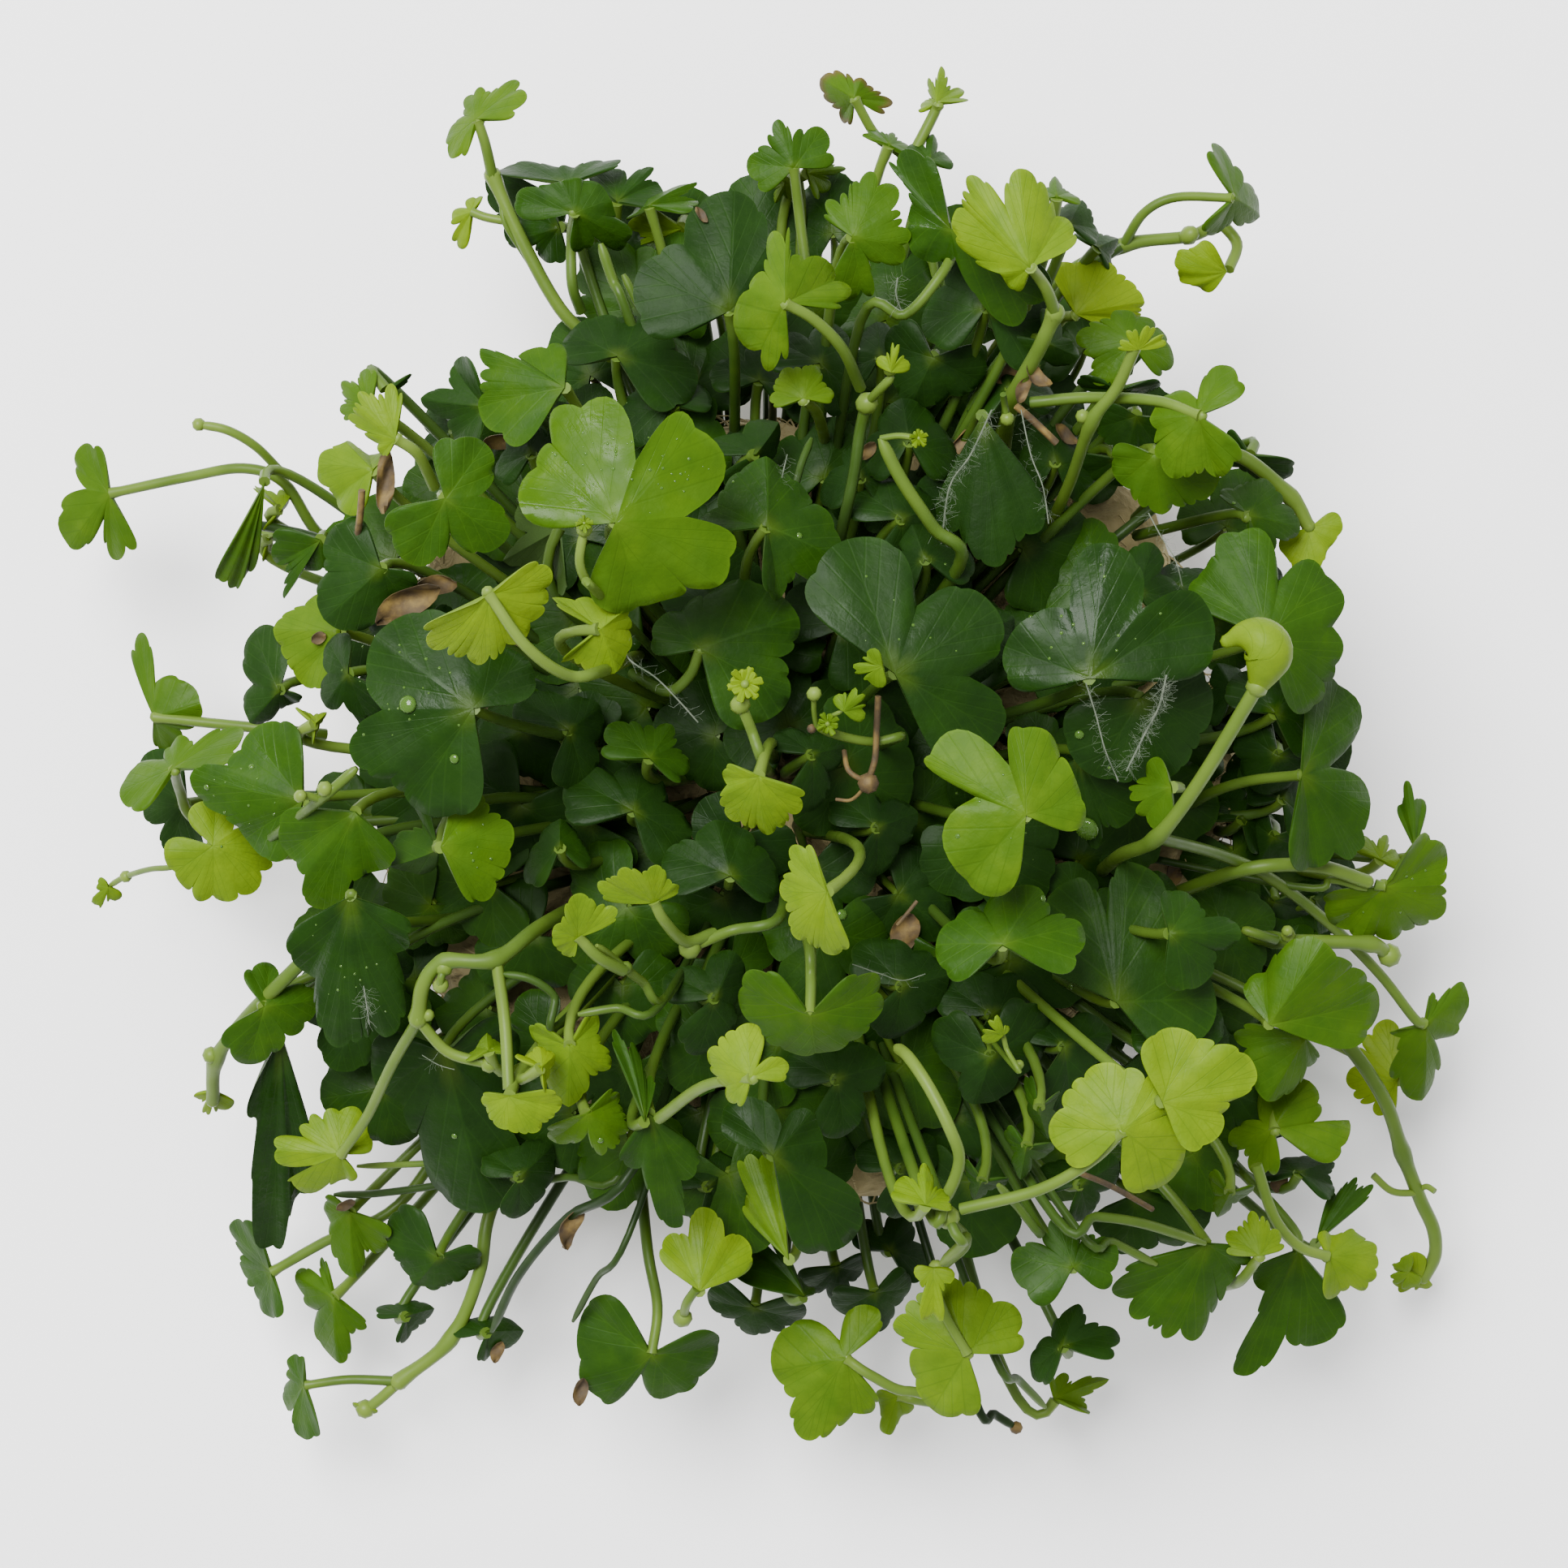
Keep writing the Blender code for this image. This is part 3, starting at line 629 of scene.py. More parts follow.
def add_ball(shape, centre, lean, radius, stretch, slot, sides=8, levels=6, lift=0.0, **traits):
    """A closed ball of this radius, drawn out by the stretch along its lean and lifted along it."""
    turn = lean.to_track_quat("Z", "Y")
    rings = []
    for level in range(1, levels):
        polar = math.pi * level / levels
        ring = []
        for step in range(sides):
            angle = math.tau * step / sides
            local = Vector((math.sin(polar) * math.cos(angle), math.sin(polar) * math.sin(angle),
                            math.cos(polar) * stretch + lift))
            ring.append(shape.add(centre + turn @ (local * radius), **traits))
        rings.append(ring)
    top = shape.add(centre + turn @ Vector((0.0, 0.0, radius * (lift + stretch))), **traits)
    low = shape.add(centre + turn @ Vector((0.0, 0.0, radius * (lift - stretch))), **traits)
    for step in range(sides):
        after = (step + 1) % sides
        shape.face((top, rings[0][step], rings[0][after]), slot)
        shape.face((low, rings[-1][after], rings[-1][step]), slot)
        for upper, lower in zip(rings, rings[1:]):
            shape.face((upper[step], lower[step], lower[after], upper[after]), slot)


def add_knob(shape, centre, radius, age, slot=STEM, stretch=1.0, lean=Vector((0, 0, 1))):
    """A small bud, drawn out along its lean."""
    add_ball(shape, centre, lean, radius, stretch, slot, age=age, wet=KNOB_WET)


def add_drop(shape, base, normal, radius):
    """A flattened round drop that sinks a little into the leaf it sits on."""
    large = radius > 0.25
    add_ball(shape, base, normal, radius, 0.5, ONLY, sides=16 if large else 8, levels=7 if large else 4,
             lift=0.15)


# Leaves with their petioles

def pad_point(angle, height):
    """A point on the pad's side, which leans and bulges a little, more where tufts of wool stand out."""
    waves = 1.0
    for count, reach, shift in PAD_WAVES:
        waves += reach * math.sin(count * angle + shift)
    for turn, reach in WOOL_TUFTS:
        off = math.remainder(angle - turn, math.tau) / TUFT_SPREAD
        waves += reach * math.exp(-off * off) * (height / PAD_TOP) ** 2
    bulge = 1.0 - PAD_BULGE * abs(height / PAD_TOP - PAD_WIDEST_SHARE) ** 1.5
    return Vector((PAD_HALF_LENGTH * waves * bulge * math.cos(angle),
                   PAD_HALF_WIDTH * waves * bulge * math.sin(angle), height))


def foot_for(junction):
    """Where a hidden petiole grows out of the pad: its top, or its side under low leaves."""
    across = Vector((junction.x / PAD_HALF_LENGTH, junction.y / PAD_HALF_WIDTH, 0.0))
    if junction.z > PAD_TOP + HIGH_LEAF_ABOVE_PAD:
        inward = min(TOP_FOOT_INWARD, TOP_FOOT_REACH / max(across.length, 0.01))
        return Vector((junction.x * inward, junction.y * inward, PAD_TOP - TOP_FOOT_DEPTH))
    angle = math.atan2(across.y, across.x)
    return pad_point(angle, min(junction.z - SIDE_FOOT_DROP, SIDE_FOOT_HIGHEST)) * SIDE_FOOT_SHARE


def petiole_path(junction, normal, via):
    """The stalk's course from the blade through the places that show, or else down to the pad."""
    start = junction - normal * 0.05
    if via:
        return smooth_path([start, *points_at(via)], 7)
    foot = foot_for(junction)
    drop = (start - foot).length
    lead = [start, start - normal * drop * BLADE_LEAD, foot + Vector((0.0, 0.0, drop * FOOT_LEAD)), foot]
    path = []
    for step in range(PETIOLE_STEPS + 1):
        t = step / PETIOLE_STEPS
        weights = ((1 - t) ** 3, 3 * t * (1 - t) ** 2, 3 * t * t * (1 - t), t ** 3)
        path.append(sum((point * weight for point, weight in zip(lead, weights)), Vector()))
    return path


def grow_leaf(shape, junction, ends, age, via=(), stalk=1.0, gaps=(), **look):
    """A blade and its petiole, from picture places; the last place of via is the petiole's foot."""
    heart = at(*junction)
    look.setdefault("cut", YOUNG_CUT - CUT_LOSS * age)
    look.setdefault("sinus", YOUNG_SINUS + SINUS_GAIN * age)
    notches = [at(x, y, junction[2] + NOTCH_RISE) for x, y in gaps]
    normal = add_blade(shape, heart, tips_at(junction, ends), age, seed=wave_seed(*junction[:2]),
                       gaps=notches, **look)
    path = petiole_path(heart, normal, via)
    count = len(path)
    radii = [PETIOLE_RADIUS * stalk * (1.0 + PETIOLE_WIDENING * index / count) for index in range(count)]
    radii[0] *= PETIOLE_CROWN
    # Painted shade: the petiole darkens towards its foot under the leaves, a hidden one much more
    darkening = SHOWN_DARKENING if via else HIDDEN_PAINTED_SHADE
    tones = [0.1 + 0.4 * age + darkening * index / count for index in range(count)]
    add_tube(shape, path, radii, tones, sides=6 if look.get("fineness") else TUBE_SIDES)
    if via:
        add_knob(shape, path[0] - normal * 0.2, radii[0], tones[0], lean=normal, stretch=0.8)


def add_small_leaf(shape, junction, ends, age, **look):
    """A tiny leaf without a petiole of its own, from picture places."""
    add_blade(shape, at(*junction), tips_at(junction, ends), age, **look)


# Stems

def grow_stem(shape, course, radius, nodes=(), branches=(), buds=(), young=(), hood=False, hook=()):
    """A creeping stem with swollen nodes, side stalks, buds, small young leaves and a furled tip."""
    steps = 8
    path = smooth_path(points_at(course), steps)
    radius *= STEM_SLIMNESS
    radii = []
    for index in range(len(path)):
        swell = sum(math.exp(-((index - node * steps) / NODE_LENGTH) ** 2) for node in nodes)
        radii.append(radius * (1.0 + NODE_SWELL * swell))
    tones = [STEM_AGE + 0.3 * index / len(path) for index in range(len(path))]
    add_tube(shape, path, radii, tones, sides=10)
    add_knob(shape, path[0], radii[0] * 1.04, STEM_AGE * 0.8, lean=path[0] - path[1])
    for side_course, side_radius in branches:
        add_tube(shape, smooth_path(points_at(side_course), 6), side_radius, STEM_AGE)
    for place, size, stretch in buds:
        add_knob(shape, at(*place), size, STEM_AGE * 0.6, stretch=stretch)
    outline = {"cut": 0.02, "sinus": 0.95} if hood else {"cut": 0.2}
    for junction, ends, cup, back in young:
        add_small_leaf(shape, junction, ends, 0.08, cup=cup, back=back, teeth=2, **outline)
    if hook:
        bend = smooth_path(points_at(hook), 5)
        turns = [math.pi * (0.1 + 0.9 * index / (len(bend) - 1)) for index in range(len(bend))]
        girths = [SHOOT_THIN + SHOOT_FULLER * math.sin(turn) ** 1.5 for turn in turns]
        add_tube(shape, bend, girths, 0.1, slot=LEAF, sides=14)
        add_knob(shape, bend[-1], SHOOT_END, 0.1, slot=LEAF)


def rosette(shape, place, size, count, age, seed):
    """A tight star of tiny young leaves round a picture place; size is in picture pixels."""
    x, y, height = place
    for number in range(count):
        turn = math.tau * number / count + seed
        heart = at(x + 0.25 * size * math.cos(turn), y - 0.25 * size * math.sin(turn), height)
        tips = []
        for lobe in (-1, 0, 1):
            aim = turn + lobe * 0.7
            reach = size * (1.1 - 0.2 * abs(lobe))
            tips.append(at(x + reach * math.cos(aim), y - reach * math.sin(aim),
                           height + 0.5 - 0.5 * abs(lobe) + 0.5 * math.sin(3.0 * turn)))
        add_blade(shape, heart, tips, age, cup=-0.2, back=34, teeth=2, seed=turn, fineness=5,
                  shares=(0.4, 0.8, 1.0))
    add_knob(shape, at(x, y, height), 0.28 * size * MM_PER_PIXEL, age)


# Dry scraps

def add_flake(shape, centre, length, width, heading, curl, tilt, seed):
    """A small curled flake of dead leaf, closed and thin."""
    way = Vector((math.cos(heading), math.sin(heading), 0.0))
    side = Vector((-way.y, way.x, tilt)).normalized()
    up = way.cross(side)
    rows = {1: [], -1: []}
    for face in (1, -1):
        for step in range(FLAKE_LONG + 1):
            t = step / FLAKE_LONG - 0.5
            half = width * 0.5 * math.sqrt(max(1.0 - (2 * t) ** 2, 0.02))
            row = []
            for across in range(FLAKE_WIDE + 1):
                s = 2 * across / FLAKE_WIDE - 1.0
                bend = curl * (4 * t * t + 0.6 * s * s) * length * 0.25
                crumple = FLAKE_CRUMPLE * length * math.sin(7 * t + 3 * s + seed)
                point = centre + way * (t * length) + side * (s * half) + up * (bend + crumple)
                row.append(shape.add(point + up * (FLAKE_HALF_THICKNESS * face), age=0.3))
            rows[face].append(row)
    for step in range(FLAKE_LONG):
        for across in range(FLAKE_WIDE):
            for face in (1, -1):
                a, b = rows[face][step][across], rows[face][step][across + 1]
                c, d = rows[face][step + 1][across + 1], rows[face][step + 1][across]
                shape.face((a, b, c, d)[::-face], DRY)
    rim = ([(step, 0) for step in range(FLAKE_LONG)]
           + [(FLAKE_LONG, across) for across in range(FLAKE_WIDE)]
           + [(step, FLAKE_WIDE) for step in range(FLAKE_LONG, 0, -1)]
           + [(0, across) for across in range(FLAKE_WIDE, 0, -1)])
    for index, (step, across) in enumerate(rim):
        after = rim[(index + 1) % len(rim)]
        shape.face((rows[1][step][across], rows[-1][step][across],
                    rows[-1][after[0]][after[1]], rows[1][after[0]][after[1]]), DRY)


# Pieces

def as_piece(name, shape, materials, node=None):
    """Turn a shape in millimetres into a piece that rides on the plant."""
    mesh = bpy.data.meshes.new(name)
    mesh.from_pydata([point * MM for point in shape.points], [], shape.faces)
    mesh.polygons.foreach_set("material_index", shape.slots)
    layer = mesh.uv_layers.new(name="leaf")
    corners = np.empty(len(mesh.loops), dtype=np.int32)
    mesh.loops.foreach_get("vertex_index", corners)
    layer.data.foreach_set("uv", np.array(shape.places, dtype=np.float32)[corners].ravel())
    traits = np.array(shape.traits, dtype=np.float32)
    for index, trait in enumerate(("age", "wet", "under", "dry", "rim")):
        attribute = mesh.attributes.new(trait, "FLOAT", "POINT")
        attribute.data.foreach_set("value", traits[:, index].copy())
    for material in materials:
        mesh.materials.append(material)
    mesh.shade_smooth()
    mesh.set_sharp_from_angle(angle=math.radians(65))
    thing = bpy.data.objects.new(name, mesh)
    bpy.context.scene.collection.objects.link(thing)
    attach(thing, "root")
    if node:
        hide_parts(node)


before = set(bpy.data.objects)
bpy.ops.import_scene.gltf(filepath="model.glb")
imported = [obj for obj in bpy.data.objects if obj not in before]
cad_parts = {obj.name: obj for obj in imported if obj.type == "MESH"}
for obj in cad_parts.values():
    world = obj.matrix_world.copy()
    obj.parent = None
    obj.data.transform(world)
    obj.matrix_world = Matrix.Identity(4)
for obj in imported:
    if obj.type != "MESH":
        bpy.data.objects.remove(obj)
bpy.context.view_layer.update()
PLANT = [leaf_material(), stem_material(), dry_material()]


def leaf(node, junction, ends, age, **details):
    """A leaf that stands in for its solid."""
    shape = Shape()
    grow_leaf(shape, junction, ends, age, **details)
    as_piece("pennywort_" + node, shape, PLANT, node)


def stem(node, course, radius, **details):
    """A creeping stem that stands in for its solid."""
    shape = Shape()
    grow_stem(shape, course, radius, **details)
    as_piece("creeping_" + node, shape, PLANT, node)


def more_leaves(name, entries):
    """Leaves past the solids' count, joined into one piece: junction, ends, age and any details."""
    shape = Shape()
    for junction, ends, age, *details in entries:
        grow_leaf(shape, junction, ends, age, **dict(*details))
    as_piece(name, shape, PLANT)


# Root pad

def pad_rings():
    """The rings of the smooth pad, up its side and then inwards over its top."""
    turns = [math.tau * step / PAD_SIDES for step in range(PAD_SIDES)]
    rings = []
    for level in range(PAD_LEVELS + 1):
        height = PAD_TOP * PAD_SIDE_SHARE * level / PAD_LEVELS
        rings.append([pad_point(turn, height) for turn in turns])
    for share in PAD_TOP_SHARES:
        edges = [pad_point(turn, PAD_TOP) * share for turn in turns]
        height = PAD_TOP - (PAD_EDGE_DROP if share > 0.95 else 0.0) - PAD_TOP_DROP
        rings.append([Vector((edge.x, edge.y, height)) for edge in edges])
    return rings


def add_fibre(shape, turn, standing):
    """A loose fibre of wool that loops out of the pad's side, or out of its top."""
    if standing:
        base = pad_point(turn, PAD_TOP) * math.sqrt(random.random()) * 0.95
        base.z = PAD_TOP - 0.4
        away = Vector((0.0, 0.0, 1.0))
    else:
        base = pad_point(turn, random.uniform(1.2, PAD_TOP - 1))
        away = Vector((math.cos(turn), math.sin(turn), 0.0))
    way = Vector((random.uniform(-1, 1), random.uniform(-1, 1), random.uniform(-0.5, 0.5)))
    way = (way - away * way.dot(away)).normalized()
    length = random.uniform(*FIBRE_LENGTHS)
    points = [base - away * 0.4,
              base + away * random.uniform(0.3, 0.9) + way * length * 0.35,
              base + away * random.uniform(0.2, 0.8) + way * length * 0.7,
              base - away * 0.3 + way * length]
    for point in points:
        point.z = max(point.z, 0.2)
    add_tube(shape, smooth_path(points, 2), random.uniform(*FIBRE_RADII), 0.5, slot=ONLY, sides=3)


def wool_pad():
    """The lumpy block with fibres standing out of it; its bottom ring stays flat and true."""
    random.seed(PAD_SEED)
    shape = Shape()
    rows = []
    for number, ring in enumerate(pad_rings()):
        row = []
        for point in ring:
            rough = sum(noise.noise(point * scale) * depth for scale, depth in WOOL_LUMPS)
            if number <= PAD_LEVELS:
                way = Vector((point.x, point.y, 0.0)).normalized()
                rough *= min(number / 3, 1.0)
            else:
                way = Vector((0.0, 0.0, 1.0))
                rough -= 0.2
            row.append(shape.add(point + way * rough))
        rows.append(row)
    close_rings(shape, rows, ONLY)
    for strand in range(WOOL_FIBRES):
        add_fibre(shape, random.uniform(0, math.tau), strand % 3 == 0)
    as_piece("growing_wool_pad", shape, [wool_material()], "root_pad")


wool_pad()

# Leaves with solids, upper part

leaf("leaf_01", (588, 148, 27), ((646, 104, 0), (584, 112), (550, 184)), 0.34,
     via=((598, 178, 26.4), (607, 219, 24.9)), teeth=4, cut=0.16)
leaf("leaf_02", (708, 262, 31),
     ((633, 246, -1), (690, 222, 0), (752, 244, -1), (777, 300, -3), (720, 309, -3)), 0.7, cup=0.2,
     back=30, sinus=0.95, cut=0.05, teeth=2, gaps=((742, 293),),
     via=((704, 294, 27.5), (705, 350, 27), (716, 384, 25.4)), wet=0.9)
leaf("leaf_03", (898, 384, 37), ((786, 335, -1), (905, 234), (962, 335)), 0.9,
     via=((905, 440, 33), (905, 560, 20.6)), wet=0.15)
leaf("leaf_04", (978, 207, 24), ((920, 200, -1), (958, 147, 0), (1014, 158, -1)), 0.58, cup=0.05, back=56,
     teeth=3, cut=0.2, gaps=((946, 178), (976, 168)),
     via=((986, 275, 22.5), (998, 380, 22), (1000, 505, 20.6)))
leaf("leaf_05", (968, 374, 45), ((930, 450, -4), (968, 278, -1), (1040, 340, -4)), 0.33, back=40, teeth=4,
     cut=0.2, gaps=((938, 328), (974, 312)), via=((1003, 394, 44), (1038, 430, 42), (1060, 478, 38)))
leaf("leaf_06", (1050, 292, 39), ((1030, 240, -1), (1088, 216, -1), (1122, 304, -1), (1062, 370, -3)), 0.5,
     back=40, teeth=4, cut=0.2, sinus=0.85, gaps=((1074, 322),))
leaf("leaf_07", (1053, 122, 21), ((1036, 148, -3), (1010, 97), (1062, 96, 0), (1100, 126)), 0.42, cup=0.2,
     back=40, sinus=0.75, teeth=3, cut=0.2, dry_rim=0.9,
     via=((1080, 168, 19.5), (1120, 205, 19), (1150, 330, 19), (1150, 470, 16)))
leaf("leaf_08", (1270, 330, 46), ((1240, 350), (1176, 258), (1192, 217, -1), (1256, 208, -1), (1312, 268)),
     0.14, back=36, sinus=0.92, cut=0.09, gaps=((1237, 249),),
     via=((1280, 342, 44.5), (1290, 358, 43.5), (1299, 382, 42)))
# Leaf_09 gets the lightest green, partly painted light against the shade that falls on it here
leaf("leaf_09", (1325, 388, 30), ((1308, 322, -1), (1370, 326, -1), (1411, 372, -1), (1408, 396)), 0.0,
     back=20, sinus=0.93, cut=0.06, via=((1300, 404, 28), (1240, 520, 20.6)))
leaf("leaf_10", (1395, 424, 35), ((1346, 470, -1), (1326, 414, -1), (1374, 382, -1), (1446, 448)), 0.5,
     back=40, sinus=0.82, teeth=3, cut=0.15)
leaf("leaf_11", (1478, 512, 43), ((1512, 450, -1), (1418, 516), (1440, 588), (1500, 588)), 0.4, back=56,
     sinus=0.9, cut=0.12, gaps=((1472, 490),), via=((1425, 494, 41), (1340, 490, 38), (1270, 496, 36.6)))
leaf("leaf_12", (1520, 244, 29), ((1502, 178), (1556, 268, -4), (1495, 288, -3)), 0.5, cup=0.05,
     via=((1450, 243, 27), (1410, 262, 26), (1384, 302, 24.2)), stalk=0.9, teeth=3, cut=0.17)

# Leaves with solids, right part

leaf("leaf_13", (1560, 785, 37), ((1474, 708), (1524, 650), (1640, 702), (1651, 822, -3), (1622, 872, -3)),
     0.64, back=24, sinus=0.95, cut=0.05, teeth=2, gaps=((1581, 711),))
leaf("leaf_14", (1603, 955, 33), ((1650, 839, -4), (1687, 1000, -3), (1674, 1052, -3), (1618, 1074)), 0.7,
     back=26, sinus=0.97, cut=0.04, teeth=2, gaps=((1655, 944),),
     via=((1540, 962, 30), (1490, 978, 27), (1436, 1010, 20.8)), wet=0.7)
leaf("leaf_15", (1706, 1092, 26), ((1785, 1055), (1780, 1122, -3), (1714, 1160, -3), (1644, 1140, -3)),
     0.42, back=50, sinus=0.92, cut=0.1, wave=0.05, wet=0.9, via=((1698, 1091, 26), (1694, 1090, 26)))
leaf("leaf_16", (1564, 1262, 34), ((1549, 1200, -1), (1630, 1160, 1), (1700, 1232, -3)), 0.5, back=32,
     sinus=0.95, cut=0.05, cup=0.2, wet=0.5)
leaf("leaf_17", (1755, 1262, 17), ((1768, 1224, -1), (1807, 1214), (1752, 1356, -4), (1716, 1276, -1)),
     0.46, back=18, sinus=0.6, cut=0.2, gaps=((1787, 1252), (1784, 1296), (1732, 1304)),
     via=((1742, 1254, 17.6), (1700, 1200, 19.5), (1640, 1140, 22.5), (1562, 1080, 27), (1500, 1052, 31),
          (1425, 1032, 39)))
leaf("leaf_18", (1570, 1392, 24), ((1540, 1442), (1514, 1408), (1612, 1330, -1), (1662, 1380)), 0.36,
     back=62, sinus=0.86, cut=0.14, gaps=((1545, 1372), (1617, 1378)),
     via=((1560, 1330, 21), (1470, 1210, 15)), wet=0.7)
leaf("leaf_19", (1383, 1394, 49), ((1292, 1388), (1352, 1311, -1), (1466, 1322, -1), (1450, 1445, -3)), 0.1,
     back=56, sinus=0.95, cut=0.1, gaps=((1412, 1326), (1446, 1371)),
     via=((1345, 1430, 47), (1280, 1466, 45), (1184, 1490, 43)))
leaf("leaf_20", (1600, 1540, 22), ((1548, 1586, -1), (1524, 1694, -4), (1626, 1660, -3)), 0.66, back=26,
     sinus=0.9, cut=0.08, gaps=((1552, 1626), (1586, 1662)), via=((1582, 1500, 20.5), (1430, 1340, 12)),
     wet=0.7)
leaf("leaf_21", (1486, 1532, 30), ((1382, 1612), (1448, 1652, -3), (1534, 1562)), 0.6, back=30, sinus=0.9,
     cut=0.12, teeth=4)
leaf("leaf_22", (1322, 1562, 33), ((1246, 1548, -1), (1300, 1500, -1), (1374, 1532, -1)), 0.66, back=74,
     teeth=3, cut=0.17, wet=0.6)

# Leaves with solids, centre

leaf("leaf_23", (758, 644, 50), ((652, 568), (710, 487), (866, 516), (907, 690, -3), (790, 754, -3)), 0.42,
     back=46, sinus=0.9, cut=0.08, teeth=2, wet=1.0, gaps=((784, 564), (853, 635)))
leaf("leaf_24", (548, 614, 47), ((598, 546, -1), (622, 668), (508, 696)), 0.6, back=58, cut=0.14,
     gaps=((594, 611), (558, 665)))
leaf("leaf_25", (602, 732, 55), ((532, 800, -3), (588, 820, -4), (636, 792, -3), (680, 704, -1)), 0.06,
     cup=0.25, back=30, sinus=0.9, cut=0.14,
     via=((648, 796, 54), (700, 832, 51.5), (744, 826, 47), (800, 800, 20.4)))
leaf("leaf_26", (584, 873, 45), ((508, 994, -3), (432, 930, -3), (462, 782), (645, 808)), 0.86, back=46,
     sinus=0.82, cut=0.05, gaps=((472, 956), (464, 872)), wet=0.6)
leaf("leaf_27", (1102, 830, 43), ((1043, 665), (1228, 750), (1235, 905, -3)), 0.88, back=38, wet=0.4,
     cut=0.05, gaps=((1134, 742), (1201, 832)))
leaf("leaf_28", (1342, 836, 46), ((1238, 796), (1362, 668, -1), (1486, 744)), 0.9, back=36, cut=0.04,
     wet=0.8, gaps=((1317, 748), (1409, 748)))
leaf("leaf_29", (1264, 1005, 50), ((1186, 1090), (1140, 926, -1), (1260, 892, -1), (1337, 984)), 0.36,
     back=40, sinus=0.93, cut=0.06, teeth=2, gaps=((1242, 941), (1199, 980)))
leaf("leaf_30", (1020, 1098, 52), ((976, 1042, -1), (958, 1098), (984, 1156, -3), (1020, 1176, -3)), 0.12,
     cup=0.25, back=30, sinus=0.9, cut=0.12, wet=0.6)
leaf("leaf_31", (998, 1250, 45), ((910, 1212, -1), (1005, 1304, -3), (1090, 1220, -1)), 0.55, back=44,
     sinus=0.86, cut=0.08, via=((999, 1204, 43.5), (996, 1160, 41), (975, 1110, 20.2)), teeth=4)

# Leaves with solids, left part

leaf("leaf_32", (136, 608, 17), ((98, 550, -1), (84, 676, -3), (140, 690, -3)), 0.42, back=36, cut=0.16,
     gaps=((100, 602), (121, 644)),
     via=((230, 588, 18.5), (300, 577, 20), (350, 595, 20), (390, 655, 18), (440, 690, 15)))
leaf("leaf_33", (190, 884, 14), ((172, 780, -3), (246, 866, 1), (202, 926, -3)), 0.46, cup=0.05, back=16,
     teeth=3, cut=0.1, gaps=((190, 840), (224, 900)),
     via=((270, 892, 15), (340, 899, 15.5), (402, 905, 14)))
leaf("leaf_34", (214, 948, 21), ((149, 978), (226, 908), (297, 896, -1)), 0.42, cup=0.05, back=50,
     via=((222, 975, 17), (240, 1010, 15), (320, 1050, 13), (400, 1050, 12)), teeth=3, cut=0.12)
leaf("leaf_35", (374, 986, 34), ((300, 1034, -3), (236, 958, -3), (308, 901)), 0.62, back=44, sinus=0.93,
     cut=0.05, gaps=((268, 944),), wet=0.7)
leaf("leaf_36", (438, 1000, 38), ((350, 1050, -3), (388, 1118, -4), (466, 1076)), 0.6, back=34, sinus=0.95,
     cut=0.04, wet=0.4)
leaf("leaf_37", (262, 1042, 28), ((210, 1078, -1), (262, 1114), (334, 1080), (344, 1034), (266, 983, -1)),
     0.14, back=58, sinus=0.92, cut=0.14, teeth=2, gaps=((290, 1020),))
leaf("leaf_38", (345, 1268, 26), ((312, 1372, -4), (336, 1548, -12), (370, 1480, -9)), 0.88, cup=0.05,
     back=9, sinus=0.95, cut=0.02, teeth=2, wet=0.9)
leaf("leaf_39", (432, 1104, 40), ((380, 1200, -4), (414, 1292, -5), (474, 1282, -4), (500, 1170)), 0.86,
     cup=0.2, back=30, sinus=0.86, cut=0.08, via=((480, 1136, 33), (610, 1125, 20.4)), wet=1.0)
leaf("leaf_40", (548, 1296, 30), ((640, 1300), (600, 1496, -6), (470, 1340, -3)), 0.9, back=56, wet=0.5)
leaf("leaf_41", (420, 1422, 26),
     ((427, 1456), (355, 1458), (332, 1414, -1), (374, 1378, -1), (418, 1361, -1), (459, 1400, -1)), 0.14,
     back=40, sinus=0.84, cut=0.12, teeth=2, gaps=((384, 1437),),
     via=((452, 1376, 29), (484, 1310, 34), (515, 1257, 38)))

# Leaves with solids, lower part

leaf("leaf_42", (803, 1668, 20), ((888, 1660), (838, 1718, -3), (736, 1728, -3), (720, 1608, -1)), 0.7,
     back=36, sinus=0.95, cut=0.05, gaps=((788, 1704),),
     via=((810, 1610, 19.5), (798, 1540, 19), (786, 1420, 14)), teeth=2)
leaf("leaf_43", (1042, 1674, 20), ((1070, 1742), (988, 1772, -3), (950, 1690), (1082, 1612, -1)), 0.32,
     back=22, sinus=0.88, cut=0.08, gaps=((1034, 1650), (970, 1728)),
     via=((1074, 1695, 20), (1120, 1714, 19), (1180, 1690, 17), (1190, 1420, 13)))
leaf("leaf_44", (1192, 1668, 27), ((1250, 1608), (1162, 1573, -1), (1100, 1632), (1150, 1738, -3)), 0.22,
     back=52, sinus=0.93, cut=0.13, gaps=((1202, 1586), (1118, 1660)),
     via=((1162, 1615, 27.5), (1152, 1572, 29), (1190, 1532, 33), (1172, 1506, 37.6)))
leaf("leaf_45", (335, 1567, 13), ((281, 1511), (298, 1560, -3), (324, 1619)), 0.66, cup=0.03,
     via=((400, 1530, 14), (490, 1485, 15), (566, 1380, 13)), teeth=3, cut=0.12)
leaf("leaf_46", (376, 1707, 12), ((358, 1671, -1), (352, 1735, -3), (368, 1769)), 0.6, cup=0.03,
     via=((430, 1700, 12.5), (494, 1702, 13)), stalk=0.9, cut=0.12)
leaf("leaf_47", (862, 1591, 30), ((826, 1520, -1), (868, 1487, -1), (918, 1526)), 0.12, back=30, sinus=0.9,
     cut=0.05, wet=0.5)

# Creeping stems

